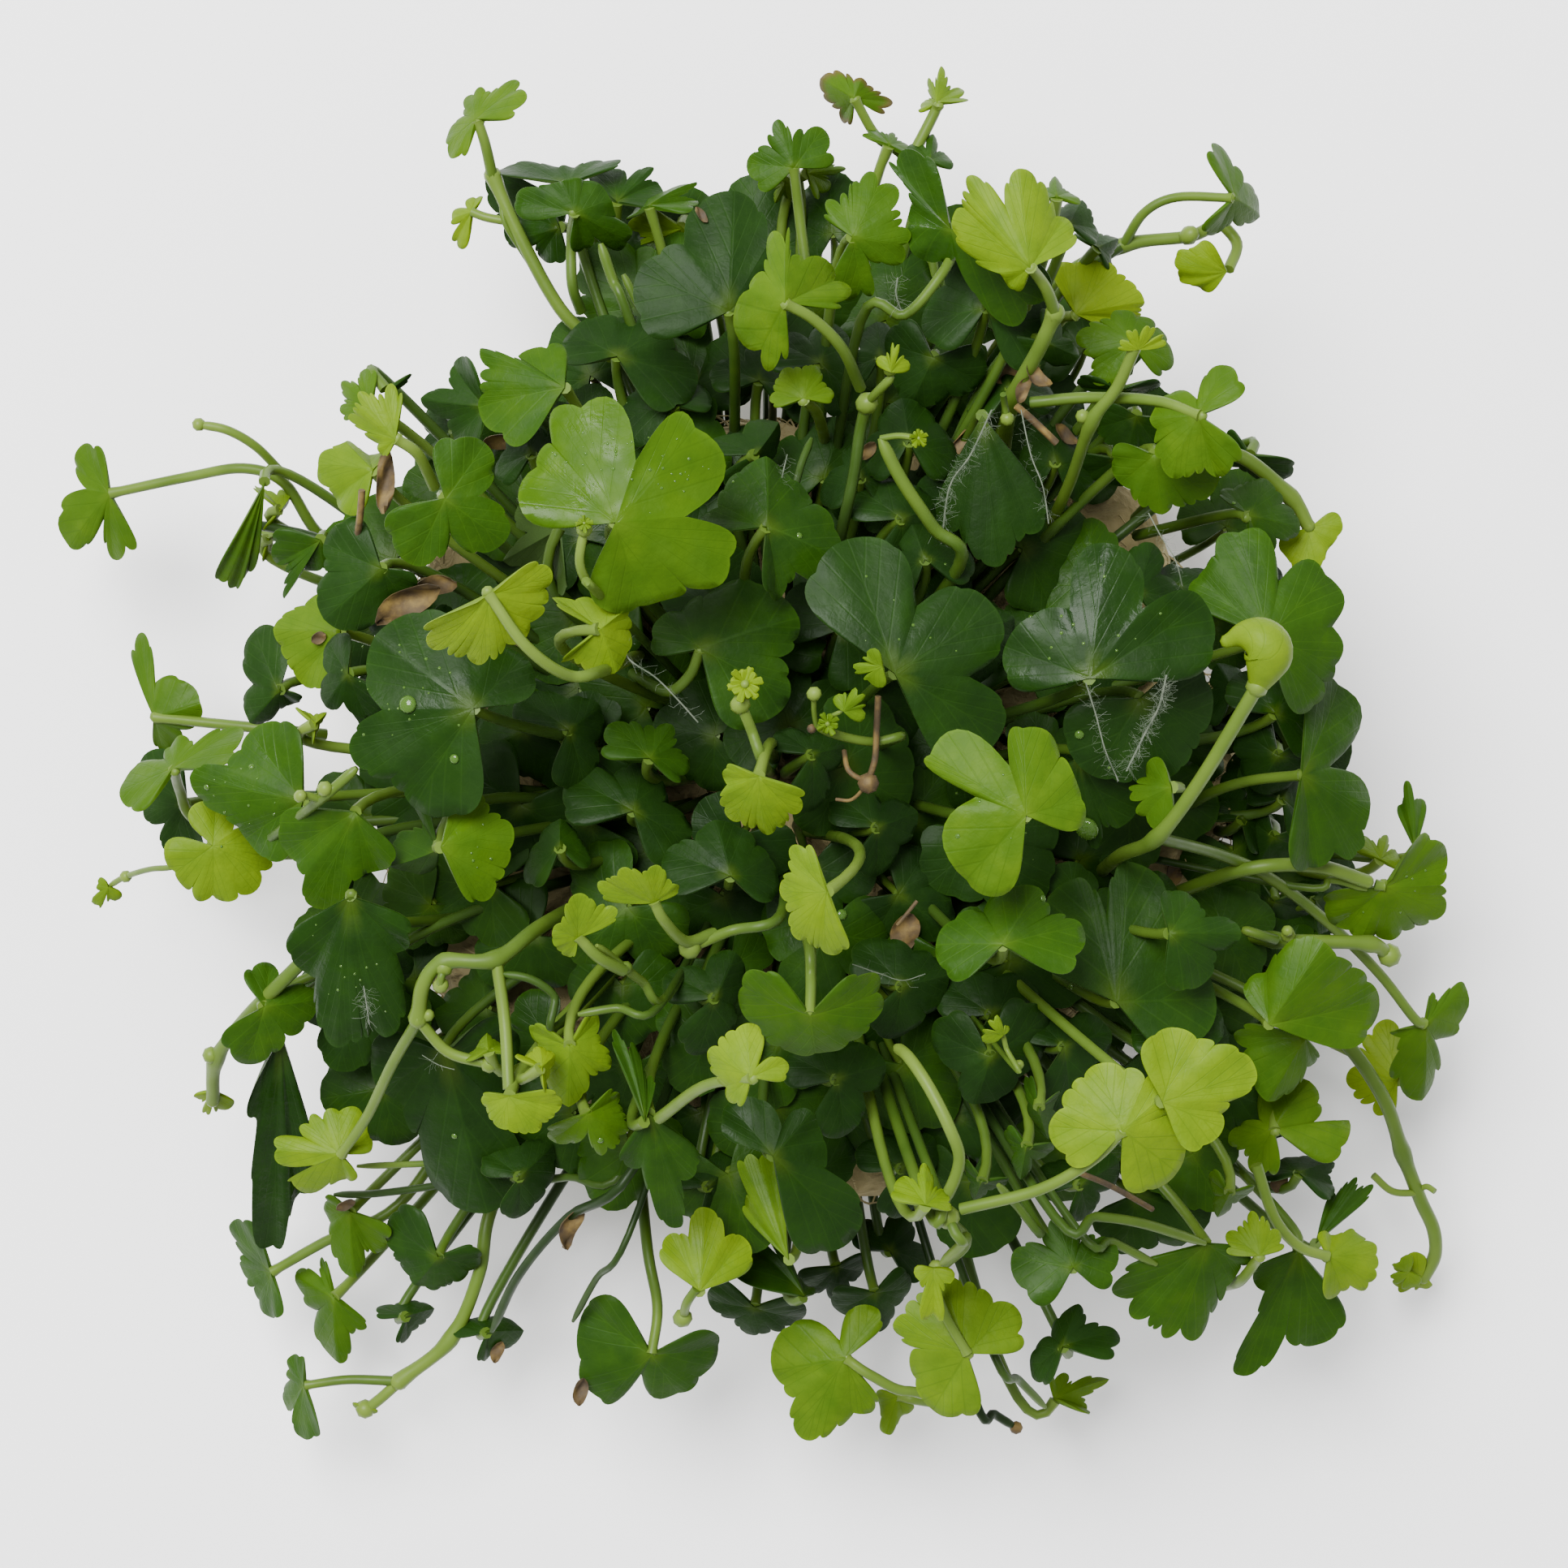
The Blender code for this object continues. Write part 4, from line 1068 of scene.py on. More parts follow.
stem("stem_01", ((607, 216, 24.8), (640, 290, 24.4), (690, 380, 23.6), (740, 430, 22.6), (790, 505, 20.8)),
     0.56, nodes=(0,), branches=((((634, 274, 24.4), (600, 268, 24.2), (581, 261, 24)), 0.35),),
     young=(((582, 262, 24), ((588, 240, -1), (553, 272, -1), (560, 303)), 0.05, 30),))
stem("stem_02", ((1300, 386, 41.6), (1280, 430, 39.5), (1248, 492, 35), (1236, 560, 26), (1232, 600, 20.6)),
     0.62, nodes=(0, 2))
stem("stem_03", ((1506, 266, 22.6), (1470, 290, 23.6), (1382, 303, 24), (1296, 352, 24), (1240, 440, 22),
                 (1215, 520, 20.7)), 0.56, nodes=(2,),
     branches=((((1500, 270, 22.8), (1524, 300, 23), (1514, 332, 24.5)), 0.45),),
     young=(((1512, 334, 25.5),
             ((1478, 356, -1), (1452, 342, -1), (1448, 316, 0), (1476, 300, 1)), 0.4, 24),), hood=True)
stem("stem_04", ((1398, 430, 43), (1376, 478, 41), (1345, 520, 39), (1320, 590, 33), (1292, 655, 26),
                 (1284, 700, 20.7)), 0.5, nodes=(2,), buds=(((1334, 513, 39), 0.55, 1.0),),
     young=(((1402, 430, 43.4),
             ((1376, 425, 0), (1394, 405, 1), (1420, 401, 1), (1438, 416, 0)), 0.1, 20),))
stem("stem_05", ((1612, 648, 29.5), (1590, 612, 30), (1522, 560, 31), (1460, 580, 29), (1400, 640, 20.8)),
     0.6, nodes=(1,), hood=True,
     young=(((1614, 650, 29.5),
             ((1654, 642, 0), (1640, 674, 0), (1604, 708, 0), (1580, 682, 0)), 0.2, 30),))
stem("stem_06", ((1549, 846, 48.9), (1480, 960, 44), (1425, 1032, 40), (1380, 1054, 34),
                 (1350, 1080, 20.7)), 0.58, nodes=(2,), buds=(((1549, 846, 48.6), 0.85, 1.5),),
     hook=((1550, 846, 48.8), (1558, 824, 49.4), (1563, 803, 49.8), (1551, 787, 50), (1531, 783, 49.8),
           (1512, 790, 49.4)))
stem("stem_07", ((1684, 1086, 26.6), (1620, 1067, 28.6), (1530, 1072, 29), (1420, 1112, 20.9)), 0.6)
stem("stem_08", ((1712, 1177, 22.5), (1688, 1163, 24), (1620, 1160, 25), (1570, 1158, 24),
                 (1500, 1146, 19)), 0.6, nodes=(1, 3),
     buds=(((1712, 1177, 22.5), 0.95, 1.1), ((1587, 1152, 25.2), 0.6, 1.0)))
stem("stem_09", ((1754, 1574, 6), (1768, 1546, 7.5), (1766, 1514, 9), (1750, 1478, 10.5), (1728, 1420, 13),
                 (1704, 1352, 16), (1650, 1276, 18), (1560, 1200, 17), (1500, 1150, 14)), 0.62, nodes=(4,),
     branches=((((1748, 1470, 11), (1716, 1468, 12), (1692, 1448, 12.5)), 0.3),
               (((1748, 1466, 11), (1758, 1462, 11.5), (1768, 1468, 12)), 0.25)),
     young=(((1752, 1572, 6.5), ((1722, 1550, 1), (1718, 1588, -1), (1748, 1590, -1)), 0.1, 60),))
stem("stem_10", ((515, 1255, 38), (522, 1212, 39.5), (548, 1185, 40), (610, 1182, 40), (665, 1142, 36),
                 (740, 1100, 20.6)), 0.62, nodes=(0, 2, 3),
     branches=((((612, 1186, 40), (622, 1260, 40), (627, 1342, 41)), 0.45),
               (((516, 1257, 38), (552, 1296, 37), (600, 1310, 37)), 0.42)),
     buds=(((547, 1192, 40), 0.7, 1.0), ((603, 1311, 37), 0.7, 1.0)))
stem("stem_11", ((492, 1702, 13), (555, 1650, 14), (590, 1570, 15), (602, 1500, 15), (640, 1400, 13)), 0.6,
     nodes=(0, 1), branches=((((498, 1697, 13), (470, 1722, 12.5), (452, 1736, 12)), 0.45),),
     buds=(((450, 1736, 12), 0.8, 1.0),))
stem("stem_12", ((262, 1356, 17), (266, 1306, 21), (300, 1258, 25), (345, 1212, 28), (400, 1160, 28),
                 (460, 1120, 20.6)), 0.6, nodes=(1,), buds=(((260, 1300, 21.5), 0.7, 1.0),),
     young=(((262, 1344, 17), ((246, 1358, -1), (252, 1374), (270, 1370)), 0.1, 50),))

# Further leaves, upper part

more_leaves("upper_under_leaves", (
    ((700, 250, 22), ((600, 212), (622, 296), (680, 318)), 0.86, {"sinus": 0.92, "back": 8}),
    ((700, 228, 26), ((764, 196), (700, 207), (612, 208)), 0.82, {"back": 16, "sinus": 0.93}),
    ((760, 250, 24), ((805, 208), (812, 228), (755, 205)), 0.8),
    ((690, 280, 24), ((640, 262), (625, 300), (665, 318)), 0.82, {"wet": 0.7}),
    ((600, 500, 30), ((520, 490), (560, 450), (560, 545)), 0.82),
    ((660, 480, 32), ((620, 450), (690, 440), (640, 520)), 0.78),
    ((560, 530, 26), ((515, 560), (530, 500), (590, 560)), 0.9),
    ((760, 440, 30), ((700, 410), (820, 400), (860, 470)), 0.9),
    ((830, 500, 29), ((760, 520), (800, 450), (870, 480)), 0.93),
    ((1215, 380, 36), ((1135, 400), (1185, 310), (1300, 430)), 0.9),
    # Painted shade: these two dark leaves fill a gap over the pad, their darkest green standing for its
    # shade
    ((1010, 448, 31), ((950, 420), (1030, 400), (1060, 500)), 0.9),
    ((935, 470, 27), ((880, 450), (935, 420), (985, 480)), 0.92),
    ((1085, 440, 29), ((1040, 460), (1080, 395), (1130, 440)), 0.92),
    # Painted shade: this dark leaf fills a gap, its darkest green standing for the shade there
    ((655, 560, 32), ((610, 580), (640, 520), (700, 560)), 0.92),
    ((1120, 545, 34), ((1060, 570), (1110, 490), (1180, 570)), 0.92, {"wet": 0.5}),
    ((1180, 590, 33), ((1130, 640), (1150, 540), (1240, 600)), 0.94),
    ((1300, 570, 31), ((1250, 590), (1290, 510), (1350, 600)), 0.9),
    ((1245, 478, 31), ((1190, 500), (1230, 440), (1300, 490)), 0.88),
    ((1060, 590, 33), ((1010, 610), (1060, 540), (1110, 610)), 0.93),
    ((1140, 690, 35), ((1090, 720), (1120, 640), (1200, 690)), 0.94),
    ((1290, 422, 36), ((1240, 440), (1330, 440), (1300, 385)), 0.82),
    ((1150, 440, 33), ((1090, 420), (1120, 500), (1210, 470)), 0.92),
    ((1318, 278, 36), ((1292, 264), (1334, 246), (1352, 284)), 0.84,
     {"wet": 0.6, "cut": 0.1, "sinus": 0.9}),
    ((1352, 306, 30), ((1336, 286), (1378, 294), (1370, 322)), 0.84, {"cut": 0.1, "sinus": 0.9}),
    ((1400, 512, 34), ((1348, 528), (1385, 578), (1434, 560)), 0.8),
    ((1375, 565, 31), ((1335, 585), (1390, 600), (1410, 570)), 0.85),
    ((1380, 478, 34), ((1330, 475), (1345, 492), (1425, 480)), 0.9, {"wet": 0.9}),
))
more_leaves("upper_fresh_leaves", (
    ((800, 255, 25), ((775, 265), (858, 222), (858, 248)), 0.6, {"teeth": 3, "cut": 0.17}),
    ((840, 280, 22), ((775, 285), (775, 305), (830, 300)), 0.2),
    ((696, 478, 37), ((588, 500), (592, 430), (640, 440)), 0.56, {"sinus": 0.86, "cut": 0.12}),
    ((994, 214, 20), ((1020, 192), (1041, 208), (1024, 228)), 0.35, {"cut": 0.2}),
    ((968, 224, 20), ((944, 228), (955, 250), (970, 244)), 0.25, {"cut": 0.15}),
    ((1095, 180, 22), ((1075, 160), (1100, 162), (1118, 180)), 0.5, {"teeth": 3, "cut": 0.22}),
    ((1145, 200, 24), ((1128, 178), (1150, 165), (1165, 190)), 0.7),
    ((1155, 128, 23), ((1138, 124), (1144, 97), (1160, 82), (1183, 108)), 0.15,
     {"teeth": 3, "cut": 0.29, "via": ((1150, 142, 22.5), (1120, 200, 22))}),
    ((1172, 282, 39), ((1096, 196, -1), (1116, 274, -1), (1278, 386, -1)), 0.7,
     {"wet": 1.0, "back": 34, "teeth": 4, "cut": 0.12, "gaps": ((1120, 236), (1178, 318))}),
    ((1302, 244, 40), ((1283, 236), (1300, 217), (1319, 238)), 0.45,
     {"cut": 0.1, "sinus": 0.9, "back": 60}),
    ((990, 492, 38), ((948, 490, -1), (965, 455, -1), (1005, 450, -1), (1027, 484, -1)), 0.3,
     {"sinus": 0.93, "cut": 0.1, "back": 30, "cup": 0.25, "via": ((1008, 512, 33), (1020, 560, 24))}),
    ((1422, 560, 38), ((1380, 596), (1432, 634), (1490, 612)), 0.5,
     {"sinus": 0.92, "back": 70, "cut": 0.1}),
))

# Further leaves, right part

more_leaves("right_under_leaves", (
    ((1540, 560, 28), ((1507, 545), (1512, 572), (1585, 590)), 0.85),
    ((1538, 636, 34), ((1508, 602), (1560, 590), (1604, 652), (1556, 697)), 0.72,
     {"via": ((1510, 634, 32), (1400, 660, 22)), "sinus": 0.8, "back": 30}),
    ((1570, 880, 31), ((1525, 830), (1600, 825), (1630, 905)), 0.9, {"wet": 1.0}),
    ((1520, 852, 27), ((1478, 880), (1500, 818), (1562, 850)), 0.93),
    ((1446, 726, 30), ((1396, 716), (1446, 694), (1504, 716)), 0.93),
    ((1545, 955, 23), ((1500, 985), (1530, 920), (1592, 960)), 0.92),
    ((1540, 905, 25), ((1500, 880), (1520, 840), (1570, 930)), 0.95),
    ((1580, 985, 26), ((1540, 970), (1600, 940), (1615, 1020)), 0.9),
    ((1540, 700, 29), ((1490, 690), (1560, 660), (1580, 740)), 0.92),
    ((1530, 1010, 24), ((1500, 990), (1540, 970), (1560, 1040)), 0.9, {"wet": 0.7}),
    ((1575, 930, 29), ((1520, 890), (1545, 975), (1640, 940)), 0.93, {"wet": 0.6}),
    ((1570, 1030, 24), ((1530, 1000), (1545, 1070), (1620, 1050)), 0.9),
    ((1570, 1110, 20), ((1520, 1090), (1560, 1140), (1620, 1120)), 0.9),
    ((1620, 1110, 20), ((1600, 1085), (1660, 1100), (1640, 1140)), 0.85),
    ((1600, 1446, 20), ((1558, 1440), (1645, 1432), (1642, 1462)), 0.85),
    ((1310, 1660, 25), ((1270, 1692), (1330, 1608), (1376, 1640)), 0.85, {"teeth": 3, "cut": 0.15}),
    ((1375, 1235, 35), ((1330, 1080), (1390, 1060), (1500, 1230)), 0.78),
    ((1440, 1150, 38), ((1470, 1105), (1530, 1150), (1490, 1205)), 0.8),
    ((1450, 1290, 33), ((1400, 1260), (1500, 1240), (1520, 1330)), 0.86),
    ((1405, 860, 40), ((1345, 955), (1435, 962), (1492, 885)), 0.9, {"sinus": 0.9, "back": 60}),
    ((1400, 730, 33), ((1350, 690), (1420, 670), (1460, 740)), 0.92),
))
more_leaves("right_fresh_leaves", (
    ((1444, 970, 42), ((1404, 954), (1388, 976), (1406, 1012)), 0.45,
     {"teeth": 2, "cut": 0.2, "sinus": 0.82}),
    ((1744, 1048, 22), ((1724, 992), (1733, 962), (1753, 984)), 0.55,
     {"back": 8, "sinus": 0.97, "cut": 0.02}),
    # This low leaf gets the lightest green, partly painted light against the shade over it
    ((1722, 1332, 12), ((1706, 1256, -1), (1658, 1330, -1), (1696, 1374, -1)), 0.0,
     {"sinus": 0.85, "back": 30, "gaps": ((1676, 1288),)}),
    ((1700, 1060, 22), ((1680, 1030), (1710, 1028), (1720, 1050)), 0.2),
    ((1432, 1358, 49.2), ((1458, 1268, 0), (1548, 1318, -1), (1508, 1390, -1)), 0.1,
     {"sinus": 0.97, "back": 46, "cut": 0.07}),
    ((1608, 1277, 29), ((1520, 1276), (1560, 1356), (1618, 1312)), 0.5, {"sinus": 0.93, "back": 20}),
    ((1552, 1548, 30), ((1512, 1518, -1), (1542, 1492, -1), (1575, 1516, -1)), 0.14,
     {"back": 40, "sinus": 0.9, "via": ((1546, 1556, 29), (1528, 1578, 27), (1505, 1585, 22))}),
    ((1515, 1470, 28), ((1490, 1450), (1500, 1500), (1540, 1470)), 0.5),
    ((1636, 1548, 25), ((1654, 1594), (1690, 1584), (1700, 1546), (1674, 1516), (1640, 1520)), 0.12,
     {"teeth": 2, "cut": 0.07, "sinus": 0.95, "back": 44,
      "via": ((1600, 1535, 26), (1570, 1500, 27), (1548, 1435, 28))}),
    ((1621, 1532, 19), ((1644, 1470), (1672, 1452), (1692, 1460)), 0.68, {"back": 7, "sinus": 0.95}),
    ((1300, 1725, 14), ((1315, 1695), (1340, 1735), (1368, 1697)), 0.3, {"teeth": 3, "cut": 0.22}),
))

# Further leaves, centre

more_leaves("centre_under_leaves", (
    ((944, 650, 41), ((866, 636), (942, 564), (1036, 692), (960, 738)), 0.76,
     {"wet": 0.5, "back": 30, "sinus": 0.84}),
    ((690, 650, 40), ((620, 690), (640, 620), (690, 730)), 0.82),
    ((690, 1045, 34), ((645, 1080), (690, 1008), (728, 1055)), 0.8),
    ((540, 1045, 37), ((500, 970), (480, 1065), (520, 1010)), 0.72),
    ((1210, 512, 36), ((1168, 656), (1228, 698), (1278, 656)), 0.9,
     {"sinus": 0.96, "back": 14, "cut": 0.05, "wet": 0.4}),
    ((1330, 935, 36), ((1315, 1000), (1350, 1048), (1380, 1020)), 0.85),
    ((1000, 930, 38), ((960, 900), (1040, 920), (1000, 1000)), 0.92),
    ((900, 1080, 36), ((820, 1050), (880, 1010), (960, 1080)), 0.92),
    ((880, 1230, 36), ((820, 1200), (905, 1172), (860, 1300)), 0.9),
    ((1110, 1215, 34), ((1060, 1160), (1170, 1200), (1100, 1280)), 0.92),
    ((780, 1000, 33), ((700, 960), (790, 940), (850, 1040)), 0.9),
    ((700, 900, 33), ((640, 860), (740, 870), (720, 970)), 0.92),
    ((1110, 640, 34), ((1050, 600), (1160, 620), (1110, 700)), 0.92),
    ((930, 560, 33), ((880, 540), (960, 520), (900, 600)), 0.9),
    ((1080, 1020, 34), ((1030, 980), (1130, 1000), (1080, 1080)), 0.94),
    ((1210, 780, 33), ((1160, 760), (1250, 760), (1210, 840)), 0.93),
    ((1220, 1250, 33), ((1160, 1210), (1280, 1220), (1230, 1300)), 0.93),
))
more_leaves("centre_fresh_leaves", (
    ((738, 775, 48), ((684, 736, -1), (778, 742, -1), (756, 830), (694, 816)), 0.12,
     {"wet": 0.6, "sinus": 0.92, "cut": 0.1, "back": 30}),
    ((863, 800, 39), ((812, 762), (985, 760), (972, 862)), 0.76,
     {"via": ((850, 832, 37.5), (822, 852, 36), (780, 830, 30))}),
    ((935, 956, 47), ((890, 958, -1), (902, 1010, -3), (945, 1030, -3), (984, 1000)), 0.14,
     {"sinus": 0.92, "cut": 0.13, "cup": 0.25, "back": 36}),
    ((800, 935, 36), ((752, 892), (828, 893), (850, 938)), 0.68, {"teeth": 3, "cut": 0.17}),
    ((543, 1044, 42), ((592, 976), (632, 1020), (606, 1106)), 0.42,
     {"wet": 1.0, "sinus": 0.92, "cut": 0.08, "back": 24}),
    ((1235, 1165, 44), ((1153, 1165), (1280, 1095), (1334, 1140)), 0.62, {"wet": 0.5}),
))

# Further leaves, left part

more_leaves("left_under_leaves", (
    ((345, 850, 28), ((315, 775), (308, 890), (362, 868)), 0.85),
    ((230, 990, 12), ((172, 940), (175, 1000), (210, 1052)), 0.85),
    ((470, 700, 38), ((400, 668), (398, 764), (500, 740)), 0.84, {"sinus": 0.93}),
    ((430, 830, 33), ((405, 790), (400, 872), (455, 885)), 0.92),
    ((520, 780, 36), ((450, 760), (500, 830), (560, 760)), 0.93),
    ((395, 665, 24), ((340, 695), (350, 738), (375, 702)), 0.7, {"teeth": 3, "cut": 0.20}),
    ((475, 480, 38), ((507, 463), (503, 470), (492, 476)), 0.8, {"back": 20}),
    ((420, 1060, 33), ((380, 1040), (400, 1110), (470, 1060)), 0.86),
    ((460, 1200, 33), ((420, 1160), (450, 1260), (510, 1190)), 0.9),
))
more_leaves("left_fresh_leaves", (
    ((460, 580, 38), ((412, 615), (388, 572), (424, 543), (455, 560)), 0.2,
     {"teeth": 2, "cut": 0.05, "sinus": 0.95, "back": 60, "gaps": ((393, 588),)}),
    ((488, 541, 42), ((470, 560, -1), (428, 514, -1), (442, 483, 0), (480, 473, 0)), 0.12,
     {"sinus": 0.82, "back": 20, "gaps": ((446, 532),), "via": ((515, 560, 41), (535, 600, 38))}),
    ((458, 502, 39), ((420, 502), (420, 470), (446, 457)), 0.4, {"sinus": 0.85, "back": 30}),
    ((345, 628, 21), ((318, 600), (362, 600), (330, 652)), 0.15),
    ((330, 664, 17), ((308, 650), (352, 650), (330, 688)), 0.15),
    ((326, 594, 25), ((268, 718, -6), (290, 728, -7), (306, 708, -6)), 0.5,
     {"back": 5, "sinus": 0.97, "cut": 0.02, "teeth": 2}),
    ((420, 778, 30), ((368, 840), (338, 776), (382, 737)), 0.3, {"sinus": 0.93, "back": 34, "cut": 0.05}),
    ((387, 892, 34), ((372, 875), (402, 878), (388, 908)), 0.12),
    ((325, 1240, 28), ((332, 1186), (394, 1230), (305, 1312)), 0.6, {"teeth": 3, "cut": 0.17}),
))

# Further leaves, lower part

more_leaves("lower_under_leaves", (
    ((1030, 1330, 36), ((970, 1300), (1092, 1310), (1040, 1400)), 0.9),
    ((952, 1424, 37), ((1052, 1526, -4), (1000, 1370, -1), (898, 1360, -1)), 0.86,
     {"wet": 0.5, "sinus": 0.88, "back": 34, "gaps": ((1022, 1440), (962, 1386))}),
    ((794, 1382, 40), ((756, 1268), (778, 1284), (804, 1324)), 0.66,
     {"back": 8, "sinus": 0.93, "cut": 0.12}),
    ((800, 1372, 39), ((780, 1444), (838, 1512, -5), (846, 1452, -3)), 0.74,
     {"back": 24, "sinus": 0.92, "wet": 0.7}),
    ((1220, 1300, 35), ((1148, 1270), (1200, 1362), (1290, 1250)), 0.92),
    ((1310, 1290, 34), ((1270, 1250), (1370, 1270), (1320, 1370)), 0.92),
    ((930, 1610, 18), ((872, 1600), (920, 1645), (990, 1625)), 0.9, {"teeth": 3, "cut": 0.15}),
    ((990, 1598, 22), ((910, 1520), (945, 1515), (985, 1572)), 0.76, {"wet": 0.6}),
    ((540, 1548, 18), ((478, 1504), (510, 1584), (590, 1560)), 0.8, {"teeth": 5, "sinus": 0.86}),
    ((600, 1642, 16), ((562, 1632), (645, 1640), (600, 1675)), 0.86),
    ((500, 1622, 15), ((466, 1610), (536, 1612), (500, 1652)), 0.86, {"teeth": 3, "cut": 0.15}),
    ((872, 1462, 27), ((830, 1435), (912, 1425), (885, 1492)), 0.9),
    ((1110, 1440, 28), ((1060, 1410), (1150, 1400), (1110, 1500)), 0.94),
    ((1330, 1460, 30), ((1280, 1440), (1380, 1430), (1340, 1500)), 0.88),
    ((640, 1450, 28), ((600, 1420), (680, 1410), (640, 1500)), 0.92),
))
more_leaves("lower_fresh_leaves", (
    ((806, 1111, 48), ((737, 1090, 1), (764, 1070, 2), (804, 1069, 2), (836, 1090, 0)), 0.16,
     {"sinus": 0.93, "cut": 0.09, "back": 24, "via": ((818, 1134, 47), (845, 1160, 44), (880, 1150, 42))}),
    ((712, 1154, 47), ((700, 1180, -1), (684, 1142, 1), (712, 1101, 2), (760, 1120, 1)), 0.16,
     {"sinus": 0.92, "cut": 0.1, "back": 16, "via": ((738, 1180, 46), (768, 1196, 44))}),
    ((702, 1288, 40), ((652, 1268), (700, 1362), (752, 1318), (738, 1254)), 0.2,
     {"sinus": 0.84, "cut": 0.12, "back": 34, "gaps": ((672, 1320), (730, 1340))}),
    ((666, 1316, 43), ((646, 1300), (664, 1288), (684, 1300), (674, 1334)), 0.02,
     {"teeth": 2, "sinus": 0.92, "cut": 0.1, "back": 60}),
    ((628, 1350, 42), ((594, 1358, -1), (614, 1390, -1), (664, 1394, -1), (692, 1362, -1)), 0.1,
     {"cut": 0.08, "sinus": 0.93, "back": 30, "cup": 0.2}),
    ((602, 1296, 38), ((586, 1292), (600, 1273), (618, 1286)), 0.22,
     {"back": 70, "sinus": 0.95, "cut": 0.04}),
    ((722, 1372, 38), ((678, 1404), (742, 1424), (776, 1392), (764, 1350)), 0.42,
     {"sinus": 0.86, "wet": 0.8, "back": 30, "gaps": ((726, 1400),)}),
    ((926, 1328, 50), ((896, 1354), (872, 1296), (920, 1260, -1), (970, 1309, -1)), 0.08,
     {"teeth": 3, "cut": 0.12, "cup": 0.25, "back": 40, "sinus": 0.93, "gaps": ((937, 1312),),
      "via": ((868, 1338, 46), (812, 1378, 40))}),
    ((972, 1552, 30), ((914, 1482), (914, 1424), (950, 1420)), 0.3,
     {"back": 8, "teeth": 2, "sinus": 0.95, "cut": 0.05}),
    ((1280, 1365, 38), ((1262, 1330), (1292, 1402), (1305, 1350)), 0.7),
    ((1265, 1412, 36), ((1238, 1400), (1258, 1452), (1292, 1422)), 0.7),
    ((1210, 1455, 34), ((1190, 1440), (1200, 1480), (1235, 1460)), 0.7),
    ((1140, 1486, 45), ((1112, 1450), (1138, 1434), (1164, 1466)), 0.13),
    ((1078, 1592, 15), ((1030, 1614), (1084, 1640), (1122, 1584)), 0.88),
    ((1096, 1542, 13), ((1062, 1504), (1112, 1494), (1146, 1556)), 0.94),
    ((1030, 1560, 14), ((996, 1592), (1036, 1606), (1064, 1566)), 0.92),
    ((1106, 1720, 13), ((1081, 1728, -1), (1092, 1768, -1), (1114, 1744, -1)), 0.2,
     {"sinus": 0.95, "back": 50, "cut": 0.03, "teeth": 2, "via": ((1125, 1724, 13), (1147, 1727, 14))}),
    ((412, 1598, 13), ((366, 1566), (395, 1550), (420, 1678, -3), (450, 1638, -1)), 0.5, {"back": 14}),
    ((432, 1492, 17), ((400, 1496), (438, 1576), (464, 1545)), 0.46, {"sinus": 0.85}),
))


# Shaded leaves below the ones that show

def inside_clump(x, y):
    """Whether a picture place is in the clump's dense middle and clear of the gaps in it."""
    for gap_x, gap_y, radius in PAD_WINDOWS:
        if math.hypot(x - gap_x, y - gap_y) < radius:
            return False
    crossings = 0
    for (x1, y1), (x2, y2) in zip(DENSE_OUTLINE, DENSE_OUTLINE[1:] + DENSE_OUTLINE[:1]):
        if (y1 > y) != (y2 > y) and x < x1 + (y - y1) * (x2 - x1) / (y2 - y1):
            crossings += 1
    return crossings % 2 == 1


def shaded_places():
    """Picture places spread evenly over the dense middle, from the seeded draws."""
    taken = []
    for attempt in range(UNDER_TRIES):
        x = random.uniform(*UNDER_ACROSS)
        y = random.uniform(*UNDER_DOWN)
        if inside_clump(x, y) and all(math.hypot(x - a, y - b) > UNDER_SPACING for a, b in taken):
            taken.append((x, y))
    return taken


def understorey():
    """Dark leaves in the shade, lower and a little lighter towards the rim, their darkest greens partly
    painted shade.
    """
    random.seed(UNDER_SEED)
    quarter = {}
    for x, y in shaded_places():
        across = math.hypot(x - PICTURE_MIDDLE, y - PICTURE_MIDDLE) / CLUMP_RADIUS
        height = UNDER_HIGHEST - UNDER_FALL * across ** 2 - random.uniform(0.0, UNDER_DIP)
        outward = math.atan2(PICTURE_MIDDLE - y, x - PICTURE_MIDDLE)
        facing = outward + random.uniform(-UNDER_TWIST, UNDER_TWIST)
        size = random.uniform(*UNDER_SIZES)
        ends = []
        for lobe in (-1, 0, 1):
            turn = facing + lobe * math.radians(random.uniform(*UNDER_LOBE_TURNS))
            reach = size * (1.0 if lobe else 1.1) * random.uniform(*UNDER_REACHES)
            ends.append((x + reach * math.cos(turn), y - reach * math.sin(turn),
                         random.uniform(*UNDER_TIP_RISES)))
        name = ("upper" if y < PICTURE_MIDDLE else "lower") + ("_left" if x < PICTURE_MIDDLE else "_right")
        shape = quarter.setdefault(name, Shape())
        # Painted shade: darkest green in the clump's middle, easing towards the rim
        age = random.uniform(*UNDER_AGES_AND_SHADE) - UNDER_SHADE_FADE * across
        grow_leaf(shape, (x, y, height), ends, age, stalk=0.8, back=60,
                  wet=random.uniform(0.0, UNDER_WETTEST), cup=random.uniform(*UNDER_CUPS),
                  sinus=random.uniform(*UNDER_SINUSES), fineness=6, shares=UNDER_RING_SHARES)
    for name, shape in quarter.items():
        as_piece(name + "_understorey", shape, PLANT)


understorey()

# Stalks, buds and tiny leaves too small or too many for solids of their own

